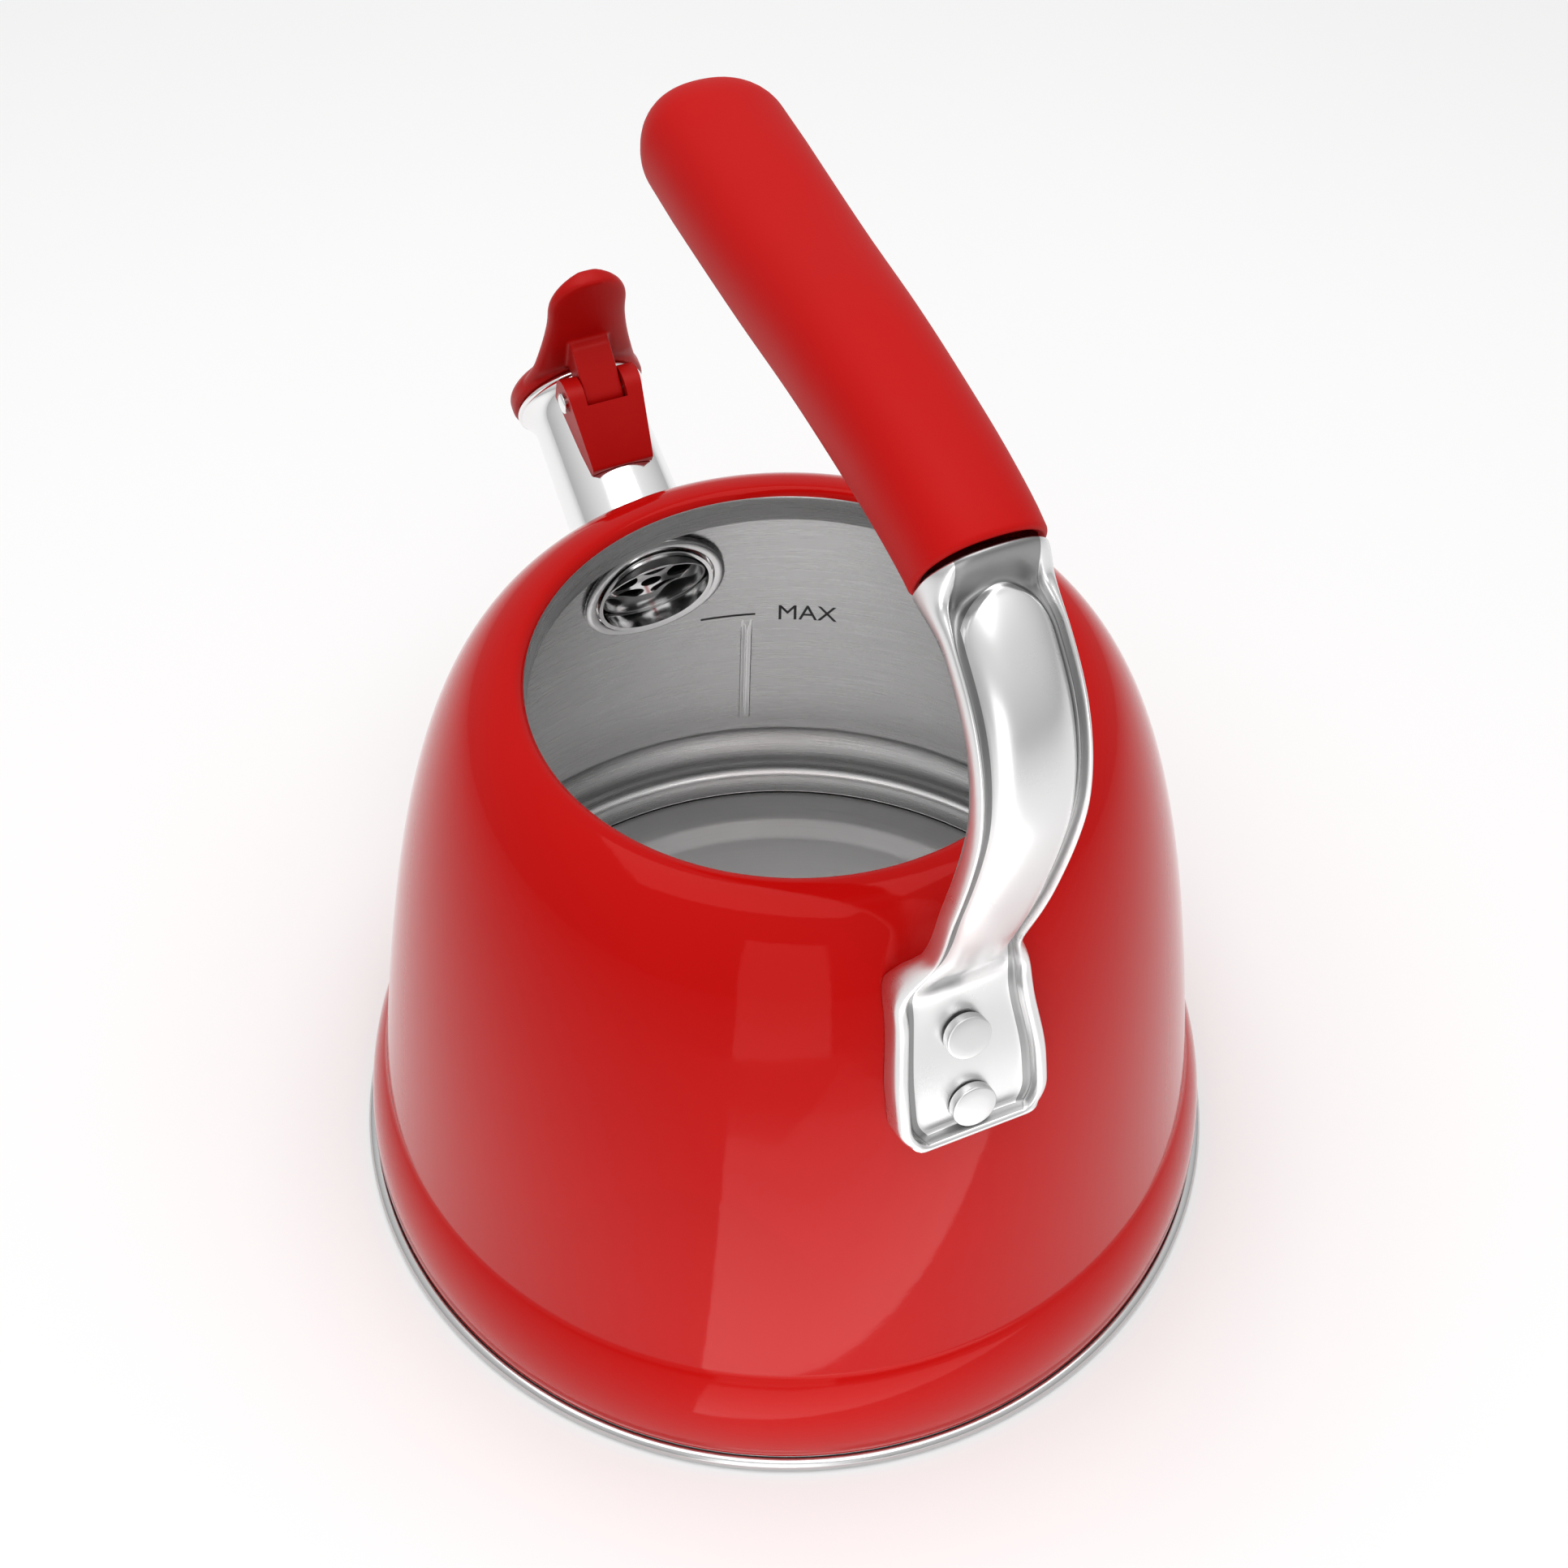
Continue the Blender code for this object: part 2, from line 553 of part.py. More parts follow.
def make_spring(steel, hinge_frame):
    """Torsion spring round the pin: its legs bear on the tube's side and on the cap."""
    per_turn = 12
    length = SPRING_PITCH * SPRING_TURNS
    centres = []
    for step in range(SPRING_TURNS * per_turn + 1):
        angle = math.tau * step / per_turn + math.pi
        side = SPRING_PITCH * step / per_turn - length / 2
        centres.append(Vector((SPRING_RADIUS * math.cos(angle), side, -SPRING_RADIUS * math.sin(angle))))
    first, last = centres[0], centres[-1]
    bend = SPRING_WIRE_RADIUS / 2
    back = [first + Vector((0, 0, -SPRING_LEG)), first + Vector((0, 0, -bend))]
    ahead = [last + Vector((0, 0, bend)), last + Vector((0, 0, SPRING_LEG))]
    centres = back + centres + ahead
    rings = []
    for index, centre in enumerate(centres):
        before = centres[max(index - 1, 0)]
        after = centres[min(index + 1, len(centres) - 1)]
        along = (after - before).normalized()
        side = along.cross(Vector((0, 1, 0))).normalized()
        other = along.cross(side)
        angles = [math.tau * corner / SPRING_SIDES for corner in range(SPRING_SIDES)]
        spokes = [side * math.cos(a) + other * math.sin(a) for a in angles]
        rings.append([centre + spoke * SPRING_WIRE_RADIUS for spoke in spokes])
    add_object("torsion_spring", skin(rings), steel, hinge_frame, Matrix.Identity(4))


# ---------------------------------------------------------------- whistle cap


def lever_rings():
    """Sections of the thumb lever, from inside the dome up to its round tip, in the spout's frame."""
    base = SPOUT_NECK_RADIUS * 0.55
    round_at = LEVER_HEIGHT - LEVER_HALF_WIDTH
    waist = LIP_RADIUS + LEVER_WAIST
    heights = [base + (round_at - base) * step / 8 for step in range(9)]
    heights += [round_at + LEVER_HALF_WIDTH * math.sin(math.radians(a)) for a in (18, 36, 52, 66, 78, 86)]
    rings = []
    for height in heights:
        half = LEVER_HALF_WIDTH
        if height < waist:
            half += LEVER_SPREAD * ((waist - height) / (waist - base)) ** 2
        if height > round_at:
            half *= math.sqrt(1 - ((height - round_at) / LEVER_HALF_WIDTH) ** 2)
        back = CAP_SEAT + FIT + LEVER_LEAN * max(0, height - LIP_RADIUS)
        thick = min(LEVER_THICKNESS, half * 1.4)
        middle = back + LEVER_THICKNESS / 2
        ring = []
        for corner in range(16):
            angle = math.tau * corner / 16
            x, y = math.cos(angle), math.sin(angle)
            squarish = (abs(x) ** 4 + abs(y) ** 4) ** -0.25
            ring.append((height, half * x * squarish, middle + thick / 2 * y * squarish))
        rings.append(ring)
    return rings


def make_cap(plastic, steel, spout_frame, hinge_frame):
    """Domed cap with a thumb lever and a tongue on the pin, and the whistle pressed into it."""
    here = Matrix.Identity(4)
    to_hinge = Matrix.Translation((-PIN_HEIGHT, 0, -PIN_PLACE))
    top = CAP_SEAT + CAP_DOME
    dome = [(0, CAP_SEAT), (CAP_RADIUS - CAP_EDGE, CAP_SEAT), (CAP_RADIUS, CAP_SEAT + CAP_EDGE)]
    dome += bezier(
        (
            (CAP_RADIUS, CAP_SEAT + 0.003),
            (CAP_RADIUS, CAP_SEAT + 0.75 * CAP_DOME),
            (CAP_RADIUS * 0.55, top),
            (0, top),
        ),
        6,
    )
    cap = add_object("spout_cap", turned(dome, TUBE_STEPS), plastic, hinge_frame, to_hinge)
    lever = add_object("lever_solid", skin(lever_rings()), None, hinge_frame, to_hinge)
    combine(cap, lever, "UNION")

    half = CLIP_SLOT_HALF_WIDTH - FIT
    over_lip = LIP_RADIUS + 2 * FIT
    knuckle = arc((PIN_HEIGHT, PIN_PLACE), KNUCKLE_RADIUS, -20, -200, 9)
    tongue = knuckle + [
        (over_lip, SPOUT_LENGTH - 0.003),
        (over_lip, CAP_SEAT + 0.002),
        (PIN_HEIGHT + TONGUE_RISE, CAP_SEAT + 0.003),
        (PIN_HEIGHT + TONGUE_RISE, CAP_SEAT - 0.0005),
    ]
    tongue_solid = add_object("tongue_solid", slab(tongue, -half, half), None, hinge_frame, to_hinge)
    combine(cap, tongue_solid, "UNION")

    seat = rod(WHISTLE_RADIUS + FIT, CAP_SEAT - 0.004, CAP_SEAT + WHISTLE_SEAT, TUBE_STEPS)
    combine(cap, add_object("whistle_seat", seat, None, hinge_frame, to_hinge), "DIFFERENCE")
    steam = rod(STEAM_HOLE_RADIUS, CAP_SEAT + WHISTLE_SEAT / 2, top + DRILL_REACH)
    combine(cap, add_object("steam_hole", steam, None, hinge_frame, to_hinge), "DIFFERENCE")

    pocket = half - KNUCKLE_CHEEK
    coil_room = along_y(rod(SPRING_RADIUS + SPRING_WIRE_RADIUS + FIT + 0.0001, -pocket, pocket))
    combine(cap, add_object("spring_pocket", coil_room, None, hinge_frame, here), "DIFFERENCE")
    reach = SPRING_LEG + 0.001
    near, far = -0.0004, -2 * KNUCKLE_RADIUS
    outline = [(far, -reach), (near, -reach), (near, reach), (far, reach)]
    leg_room = slab(outline, -pocket + 0.0001, pocket - 0.0001)
    combine(cap, add_object("spring_leg_room", leg_room, None, hinge_frame, here), "DIFFERENCE")
    hole = along_y(rod(PIN_RADIUS + HINGE_PLAY, -2 * CLIP_HALF_WIDTH, 2 * CLIP_HALF_WIDTH))
    combine(cap, add_object("cap_pin_hole", hole, None, hinge_frame, here), "DIFFERENCE")

    back = CAP_SEAT + WHISTLE_SEAT - FIT
    mouth = back - WHISTLE_DEPTH
    cup = [
        (WHISTLE_HOLE_RADIUS, back),
        (WHISTLE_HOLE_RADIUS, back - WHISTLE_SHEET),
        (WHISTLE_RADIUS - WHISTLE_SHEET, back - WHISTLE_SHEET),
        (WHISTLE_RADIUS - WHISTLE_SHEET, mouth),
        (WHISTLE_RADIUS, mouth),
        (WHISTLE_RADIUS, back),
    ]
    add_object("whistle_cup", turned(cup, TUBE_STEPS), steel, hinge_frame, to_hinge)
    inside = WHISTLE_RADIUS - WHISTLE_SHEET - FIT
    disc_top = back - WHISTLE_SHEET - WHISTLE_GAP
    disc = [
        (WHISTLE_HOLE_RADIUS, disc_top),
        (WHISTLE_HOLE_RADIUS, disc_top - WHISTLE_SHEET),
        (inside, disc_top - WHISTLE_SHEET),
        (inside, back - WHISTLE_SHEET - FIT),
        (inside - WHISTLE_SHEET, back - WHISTLE_SHEET - FIT),
        (inside - WHISTLE_SHEET, disc_top),
    ]
    add_object("whistle_disc", turned(disc, TUBE_STEPS), steel, hinge_frame, to_hinge)


# ---------------------------------------------------------------- handle


def rivet_place(height):
    """A frame on the wall at a height on the handle's side: Z points straight out of the wall."""
    radius, normal = wall_at(height)
    turn = Matrix.Rotation(math.atan2(normal[0], normal[1]), 4, "Y")
    return Matrix.Translation((radius, 0, height)) @ turn


def handle_points():
    """The handle's centreline in the XZ plane, from the plate's bottom edge to the grip's front end."""
    points = []
    for height in (PLATE_BOTTOM, (PLATE_BOTTOM + PLATE_TOP) / 2, PLATE_TOP):
        radius, normal = wall_at(height)
        points.append((radius + normal[0] * RIM_HEIGHT, height + normal[1] * RIM_HEIGHT))
    rise = HANDLE_HEIGHT - PLATE_TOP
    foot = points[-1][0]
    reach = ARM_REACH - foot
    points += [
        (foot - 0.0018, PLATE_TOP + 0.10 * rise),
        (foot + 0.42 * reach, PLATE_TOP + 0.30 * rise),
        (foot + 0.90 * reach, PLATE_TOP + 0.51 * rise),
        (ARM_REACH, PLATE_TOP + 0.64 * rise),
        (ARM_REACH - 0.0038, PLATE_TOP + 0.755 * rise),
        (ARM_REACH - 0.0125, PLATE_TOP + 0.845 * rise),
        (GRIP_REAR, HANDLE_HEIGHT - 0.0105),
        (GRIP_REAR - 0.012, HANDLE_HEIGHT - 0.0067),
        (GRIP_REAR - 0.027, HANDLE_HEIGHT - 0.0040),
        (0.022, HANDLE_HEIGHT - 0.0015),
        (0, HANDLE_HEIGHT),
        (-0.45 * GRIP_FRONT, HANDLE_HEIGHT + 0.0023),
        (-GRIP_FRONT, HANDLE_HEIGHT + 0.0055),
    ]
    return points


def smooth_path(points, steps):
    """A smooth line through the points, with a few steps in each gap, as Catmull and Rom define it."""
    ends = [points[0]] + points + [points[-1]]
    line = []
    for before, start, end, after in zip(ends, ends[1:], ends[2:], ends[3:]):
        for step in range(steps):
            t = step / steps
            weights = (-t + 2 * t**2 - t**3, 2 - 5 * t**2 + 3 * t**3, t + 4 * t**2 - 3 * t**3, t**3 - t**2)
            four = (before, start, end, after)
            line.append(Vector([sum(w * p[axis] for w, p in zip(weights, four)) / 2 for axis in (0, 1)]))
    return line + [Vector(points[-1])]


class Path:
    """The handle's centreline, read by length, with the direction that faces out of its bend."""

    def __init__(self, points):
        self.line = smooth_path(points, 6)
        self.at = [0.0]
        for start, end in zip(self.line, self.line[1:]):
            self.at.append(self.at[-1] + (end - start).length)
        self.length = self.at[-1]

    def point(self, distance):
        distance = min(max(distance, 0), self.length)
        for index in range(len(self.at) - 1):
            if self.at[index + 1] >= distance:
                share = (distance - self.at[index]) / (self.at[index + 1] - self.at[index])
                return self.line[index].lerp(self.line[index + 1], share)

    def frame(self, distance):
        """The point and the outward direction at a distance along the line."""
        ahead = self.point(distance + 0.002) - self.point(distance - 0.002)
        ahead.normalize()
        return self.point(distance), Vector((ahead.y, -ahead.x))

    def reach_x(self, target):
        """The distance at which the line, past its widest place, comes back to an x."""
        widest = max(range(len(self.line)), key=lambda index: self.line[index].x)
        for index in range(widest, len(self.line)):
            if self.line[index].x <= target:
                return self.at[index]

    def reach_z(self, target):
        for index, point in enumerate(self.line):
            if point.y >= target:
                return self.at[index]

    def ring(self, distance, section):
        """Place a section of (side, out) points on the line."""
        centre, out = self.frame(distance)
        return [(centre.x + out.x * h, side, centre.y + out.y * h) for side, h in section]


def blend(value, stops):
    """Read a smooth change of size from (place, size) stops."""
    if value <= stops[0][0]:
        return stops[0][1]
    for (start, low), (end, high) in zip(stops, stops[1:]):
        if value <= end:
            share = (value - start) / (end - start)
            return low + (high - low) * share * share * (3 - 2 * share)
    return stops[-1][1]


def bracket_section(half, crown, rim, groove, back, flat):
    """One section of the pressed bracket: a crown between two grooves, with a rim along each edge."""
    crown_edge = half - RIM_WIDTH - GROOVE_WIDTH
    side = []
    for share in (0, 0.35, 0.65, 0.88):
        fall = (1 - share**2) ** (0.15 if flat else 0.6)
        side.append((crown_edge * share, groove + (crown - groove) * fall))
    side += [
        (crown_edge + GROOVE_WIDTH * 0.15, groove),
        (crown_edge + GROOVE_WIDTH * 0.85, groove),
        (half - RIM_WIDTH, rim * 0.9),
        (half - RIM_WIDTH * 0.6, rim),
        (half - RIM_WIDTH * 0.2, rim * 0.85),
        (half, min(rim * 0.3, rim - 0.0004)),
        (half, back + 0.0005),
        (half * 0.93, back),
    ]
    return side + [(-y, h) for y, h in side[:0:-1]]


def box_section(half, low, high):
    """A bar's section with as many points as the bracket's, and slightly rounded corners."""
    corners = bracket_section(1.0, 0.0, 0.0, 0.0, -1.0, True)
    count = len(corners)
    section = []
    for index in range(count):
        angle = math.pi / 2 - math.tau * index / count
        x, y = math.cos(angle), math.sin(angle)
        squarish = (abs(x) ** 6 + abs(y) ** 6) ** (-1 / 6)
        middle = (low + high) / 2
        section.append((half * x * squarish, middle + (high - low) / 2 * y * squarish))
    return section


def oval_section(half_width, half_height, shift, power):
    count = len(box_section(1, -1, 1))
    section = []
    for index in range(count):
        angle = math.pi / 2 - math.tau * index / count
        x, y = math.cos(angle), math.sin(angle)
        squarish = (abs(x) ** power + abs(y) ** power) ** (-1 / power)
        section.append((half_width * x * squarish, shift + half_height * y * squarish))
    return section


def tang_stations(mouth):
    """The places of the tang's sections, shared with the grip's bore so that both bend alike."""
    start = mouth + SOCKET_DEPTH + FIT
    return [start + TANG_LENGTH * index / 8 for index in range(9)]


def make_bracket(steel, path):
    """Pressed steel bracket: a riveted plate, an arm that bows out and up, and a tang inside the grip."""
    mouth = path.reach_x(GRIP_REAR)
    plate_top = path.reach_z(PLATE_TOP)
    neck = plate_top + 0.0145
    after = neck + 0.006
    rings = []
    for share in (0, 0.15, 0.4, 0.7, 1):
        place = PLATE_ROUND * share
        half = PLATE_HALF_WIDTH - PLATE_ROUND * (1 - math.sqrt(1 - (1 - share) ** 2))
        tray = bracket_section(half, PLATE_TRAY, RIM_HEIGHT, 0.0, -PLATE_BACK, True)
        if share < 0.3:
            tray = [(y, min(h, RIM_HEIGHT) if h < 0 else RIM_HEIGHT) for y, h in tray]
        rings.append(path.ring(place, tray))
    shoulder = plate_top - 0.004
    halves = [(shoulder, PLATE_HALF_WIDTH - 0.001), (neck, NECK_HALF_WIDTH), (neck + 0.02, ARM_HALF_WIDTH)]
    crowns = [(plate_top, PLATE_TRAY), (after, ARM_CROWN)]
    backs = [(shoulder, -PLATE_BACK), (after, -ARM_BACK), (mouth - 0.014, -ARM_BACK), (mouth, -SOCKET_LOW)]
    length = mouth - 2 * FIT - PLATE_ROUND
    for index in range(1, ARM_STATIONS + 1):
        place = PLATE_ROUND + length * index / ARM_STATIONS
        half = blend(place, halves)
        section = bracket_section(half, blend(place, crowns), RIM_HEIGHT, 0.0, blend(place, backs), False)
        rings.append(path.ring(place, section))
    socket = box_section(SOCKET_HALF_WIDTH, -SOCKET_LOW, SOCKET_HIGH)
    rings.append(path.ring(mouth - FIT, socket))
    rings.append(path.ring(mouth + SOCKET_DEPTH, socket))
    tang = box_section(TANG_HALF_WIDTH, -TANG_HALF_HEIGHT, TANG_HALF_HEIGHT)
    for place in tang_stations(mouth):
        rings.append(path.ring(place, tang))
    bracket = add_object("handle_bracket", skin(rings), steel)
    combine(bracket, add_object("wall_fit", body_surface(FIT)), "DIFFERENCE")
    for height in (RIVET_LOW, RIVET_HIGH):
        hole = rod(RIVET_SHANK_RADIUS + FIT, -DRILL_REACH, DRILL_REACH)
        combine(bracket, add_object("bracket_hole", hole, place=rivet_place(height)), "DIFFERENCE")
    thread = rod(GRIP_SCREW_RADIUS + FIT, -DRILL_REACH, DRILL_REACH)
    combine(bracket, add_object("tang_hole", thread, place=screw_place(path)), "DIFFERENCE")


def screw_place(path):
    """The grip screw's frame on the centreline: Z points up through the grip."""
    distance = path.reach_x(GRIP_SCREW_AT)
    centre, out = path.frame(distance)
    return Matrix.Translation((centre.x, 0, centre.y)) @ Matrix.Rotation(math.atan2(out.x, out.y), 4, "Y")


def make_grip(plastic, steel, path):
    """Soft-touch sleeve over the tang, rounded at its front end, held by a screw from below."""
    mouth = path.reach_x(GRIP_REAR)
    tang = box_section(TANG_HALF_WIDTH + FIT, -TANG_HALF_HEIGHT - FIT, TANG_HALF_HEIGHT + FIT)
    socket = box_section(SOCKET_HALF_WIDTH + FIT, -SOCKET_LOW - FIT, SOCKET_HIGH + FIT)
    bore = tang_stations(mouth)
    bore[-1] += FIT
    rings = [path.ring(place, tang) for place in reversed(bore)]
    rings.append(path.ring(bore[0] - FIT / 4, socket))
    rings.append(path.ring(mouth, socket))
    length = path.length - mouth
    tip_round = GRIP_FRONT_HALF_WIDTH * 0.95
    stations = [length * share for share in (0, 0.012, 0.06, 0.14, 0.24, 0.34, 0.44, 0.54, 0.64, 0.74)]
    stations.append(length - tip_round)
    stations += [length - tip_round * (1 - math.sin(math.radians(a))) for a in (20, 38, 54, 68, 79, 86)]
    for station in stations:
        share = station / length
        width = GRIP_REAR_HALF_WIDTH + (GRIP_FRONT_HALF_WIDTH - GRIP_REAR_HALF_WIDTH) * min(1, share * 1.25)
        height = GRIP_HALF_HEIGHT
        if share == 0:
            width -= GRIP_EDGE
            height -= GRIP_EDGE
        over = station - (length - tip_round)
        if over > 0:
            scale = math.sqrt(1 - (over / tip_round) ** 2)
            width *= scale
            height *= scale
        rings.append(path.ring(mouth + station, oval_section(width, height, 0, 2.3)))
    grip = add_object("handle_grip", skin(rings), plastic)
    place = screw_place(path)
    recess_top = -GRIP_HALF_HEIGHT + GRIP_SCREW_SUNK
    recess = rod(GRIP_SCREW_HEAD_RADIUS + FIT, -2 * GRIP_HALF_HEIGHT, recess_top)
    combine(grip, add_object("screw_recess", recess, place=place), "DIFFERENCE")
    screw_top = TANG_HALF_HEIGHT + GRIP_SCREW_RADIUS
    shank = rod(GRIP_SCREW_RADIUS + FIT, -GRIP_HALF_HEIGHT, screw_top + FIT)
    combine(grip, add_object("screw_bore", shank, place=place), "DIFFERENCE")
    seat = recess_top - FIT
    screw = [
        (0, seat - GRIP_SCREW_HEAD_HEIGHT),
        (GRIP_SCREW_HEAD_RADIUS * 0.8, seat - GRIP_SCREW_HEAD_HEIGHT),
        (GRIP_SCREW_HEAD_RADIUS, seat - GRIP_SCREW_HEAD_HEIGHT * 0.6),
        (GRIP_SCREW_HEAD_RADIUS, seat),
        (GRIP_SCREW_RADIUS, seat),
        (GRIP_SCREW_RADIUS, screw_top),
        (0, screw_top),
    ]
    add_object("grip_screw", turned(screw, SMALL_STEPS), steel, place=place)


def make_rivets(steel):
    """Two flat-headed rivets through the plate and the wall, clenched inside the body."""
    for name, height in (("handle_rivet_low", RIVET_LOW), ("handle_rivet_high", RIVET_HIGH)):
        plate = RIM_HEIGHT + PLATE_TRAY + FIT
        inner = -BODY_SHEET - 2 * FIT
        outline = [
            (0, inner - RIVET_INNER_HEAD_HEIGHT),
            (RIVET_INNER_HEAD_RADIUS * 0.7, inner - RIVET_INNER_HEAD_HEIGHT),
            (RIVET_INNER_HEAD_RADIUS, inner - RIVET_INNER_HEAD_HEIGHT * 0.4),
            (RIVET_INNER_HEAD_RADIUS, inner),
            (RIVET_SHANK_RADIUS, inner),
            (RIVET_SHANK_RADIUS, plate),
            (RIVET_HEAD_RADIUS, plate),
            (RIVET_HEAD_RADIUS, plate + RIVET_HEAD_HEIGHT - RIVET_EDGE),
            (RIVET_HEAD_RADIUS - RIVET_EDGE, plate + RIVET_HEAD_HEIGHT),
            (0, plate + RIVET_HEAD_HEIGHT),
        ]
        add_object(name, turned(outline, SMALL_STEPS + 4), steel, place=rivet_place(height))


# ---------------------------------------------------------------- the kettle

for old in list(bpy.data.objects):
    bpy.data.objects.remove(old)

red_enamel = material("red_enamel", (0.60, 0.010, 0.012), 0.0, 0.12)
red_plastic = material("red_plastic", (0.55, 0.010, 0.010), 0.0, 0.45)
soft_red = material("soft_red", (0.58, 0.010, 0.010), 0.0, 0.50)
polished_steel = material("polished_steel", (0.80, 0.80, 0.79), 1.0, 0.12)
brushed_steel = material("brushed_steel", (0.55, 0.55, 0.54), 1.0, 0.32)
plain_aluminium = material("plain_aluminium", (0.66, 0.67, 0.68), 1.0, 0.40)

spout_frame = add_frame("spout_frame", spout_place())
hinge_frame = add_frame("cap_hinge", Matrix.Translation((PIN_HEIGHT, 0, PIN_PLACE)), spout_frame)
handle_path = Path(handle_points())

make_base(brushed_steel, plain_aluminium)
make_body(red_enamel, spout_frame)
make_spout(polished_steel, brushed_steel, spout_frame)
make_clip(red_plastic, polished_steel, spout_frame, hinge_frame)
make_spring(polished_steel, hinge_frame)
make_cap(red_plastic, brushed_steel, spout_frame, hinge_frame)
make_bracket(polished_steel, handle_path)
make_grip(soft_red, polished_steel, handle_path)
make_rivets(polished_steel)
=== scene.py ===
"""The looks of a stovetop whistling kettle, piece by piece in the order it is put together."""
import json
import math

import bmesh
import bpy
from mathutils import Matrix, Vector


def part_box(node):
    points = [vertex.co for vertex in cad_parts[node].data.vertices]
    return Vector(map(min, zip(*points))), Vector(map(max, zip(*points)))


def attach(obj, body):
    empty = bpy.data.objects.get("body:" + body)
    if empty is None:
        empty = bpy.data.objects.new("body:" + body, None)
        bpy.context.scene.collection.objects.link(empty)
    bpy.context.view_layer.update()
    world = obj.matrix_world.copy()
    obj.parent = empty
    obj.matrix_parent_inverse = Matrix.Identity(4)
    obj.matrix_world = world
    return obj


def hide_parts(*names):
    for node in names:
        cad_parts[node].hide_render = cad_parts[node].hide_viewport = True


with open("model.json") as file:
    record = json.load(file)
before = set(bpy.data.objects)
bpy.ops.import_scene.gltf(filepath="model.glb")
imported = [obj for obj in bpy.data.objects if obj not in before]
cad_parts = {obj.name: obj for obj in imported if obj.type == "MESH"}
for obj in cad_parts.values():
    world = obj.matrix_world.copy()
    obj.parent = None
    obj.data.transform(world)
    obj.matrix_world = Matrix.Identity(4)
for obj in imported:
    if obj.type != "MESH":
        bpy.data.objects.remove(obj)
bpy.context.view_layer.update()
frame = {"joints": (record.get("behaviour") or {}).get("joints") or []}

# ---- body
# The body is one deep-drawn steel pressing: a foot, a crease, a leaning wall, a crown and a neck turned
# down into the mouth. Outside it is dipped in red enamel. Inside it stays bare brushed steel, and a
# flange at its foot rests on the pan.

base_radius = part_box("base_cap")[1].x
body_low, body_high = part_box("body_shell")
sheet = 0.001
hem_radius = base_radius - 0.0024
hem_width = 0.0016
foot_top = body_low.z + 0.0271
crease_inset = 0.0057
crease_radius = hem_radius - crease_inset
crease_top = foot_top + 0.0008
mouth_radius = 0.0558
crown_round = 0.0027
crown_pull = 0.0234
wall_lean = 0.158
wall_pull = 0.043
neck_bottom = body_high.z - 0.0085
flange_edge = hem_radius - hem_width - 0.008
flange_under = 0.0060
flange_top = flange_under + 0.0008
flange_round = 0.005


def bezier(ends, steps):
    """Points of a cubic curve given by its end, two handles and other end."""
    points = []
    for step in range(steps + 1):
        t = step / steps
        weights = ((1 - t) ** 3, 3 * (1 - t) ** 2 * t, 3 * (1 - t) * t**2, t**3)
        points.append(tuple(sum(w * p[axis] for w, p in zip(weights, ends)) for axis in (0, 1)))
    return points


def arc(centre, radius, start, end, steps):
    """Points of an arc in degrees, about a centre."""
    angles = [math.radians(start + (end - start) * step / steps) for step in range(steps + 1)]
    return [(centre[0] + radius * math.cos(a), centre[1] + radius * math.sin(a)) for a in angles]


def offset_line(points, distance):
    """Move an open line sideways, to the left of its direction."""
    moved = []
    for index, point in enumerate(points):
        before = points[max(index - 1, 0)]
        after = points[min(index + 1, len(points) - 1)]
        along = Vector((after[0] - before[0], after[1] - before[1])).normalized()
        moved.append((point[0] - along.y * distance, point[1] + along.x * distance))
    return moved


def rounded(line, radius, steps=4):
    """Round each inner corner of an open line."""
    made = [line[0]]
    for before, corner, after in zip(line, line[1:], line[2:]):
        corner = Vector(corner)
        back = Vector(before) - corner
        ahead = Vector(after) - corner
        reach = min(radius, back.length * 0.45, ahead.length * 0.45)
        start = corner + back.normalized() * reach
        end = corner + ahead.normalized() * reach
        for step in range(steps + 1):
            t = step / steps
            made.append(tuple(start * (1 - t) ** 2 + corner * 2 * t * (1 - t) + end * t**2))
    return made + [line[-1]]


def turn(bm, line, slot=0, sides=192):
    """Spin an open line of (radius, height) points about Z into a skin with one finish."""
    known = set(bm.faces)
    corners = [bm.verts.new((radius, 0, height)) for radius, height in line]
    edges = [bm.edges.new(pair) for pair in zip(corners, corners[1:])]
    bmesh.ops.spin(
        bm,
        geom=corners + edges,
        axis=(0, 0, 1),
        cent=(0, 0, 0),
        angle=math.tau,
        steps=sides,
        use_merge=True,
    )
    for face in bm.faces:
        if face not in known:
            face.material_index = slot
    return bm


def put_in_scene(name, data):
    """Add an object that holds a mesh, a lamp or a camera."""
    holder = bpy.data.objects.new(name, data)
    bpy.context.scene.collection.objects.link(holder)
    return holder


def close_mesh(name, bm):
    """Merge a form's seams, turn its faces outward and write it as a mesh."""
    bmesh.ops.remove_doubles(bm, verts=bm.verts[:], dist=1e-6)
    bmesh.ops.recalc_face_normals(bm, faces=bm.faces[:])
    mesh = bpy.data.meshes.new(name)
    bm.to_mesh(mesh)
    bm.free()
    return mesh


def add_piece(name, bm, finishes, nodes, body="kettle", sharp=40):
    """Finish a piece: close its seams, shade it, let it ride on a body and stand for its CAD nodes."""
    mesh = close_mesh(name, bm)
    for finish in finishes:
        mesh.materials.append(finish)
    mesh.shade_smooth()
    mesh.set_sharp_from_angle(angle=math.radians(sharp))
    piece = put_in_scene(name, mesh)
    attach(piece, body)
    if nodes:
        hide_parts(*nodes)
    return piece


def settle(piece, sharp=None):
    """Turn a piece's modifiers into its mesh."""
    graph = bpy.context.evaluated_depsgraph_get()
    piece.data = bpy.data.meshes.new_from_object(piece.evaluated_get(graph))
    piece.modifiers.clear()
    if sharp:
        piece.data.shade_smooth()
        piece.data.set_sharp_from_angle(angle=math.radians(sharp))


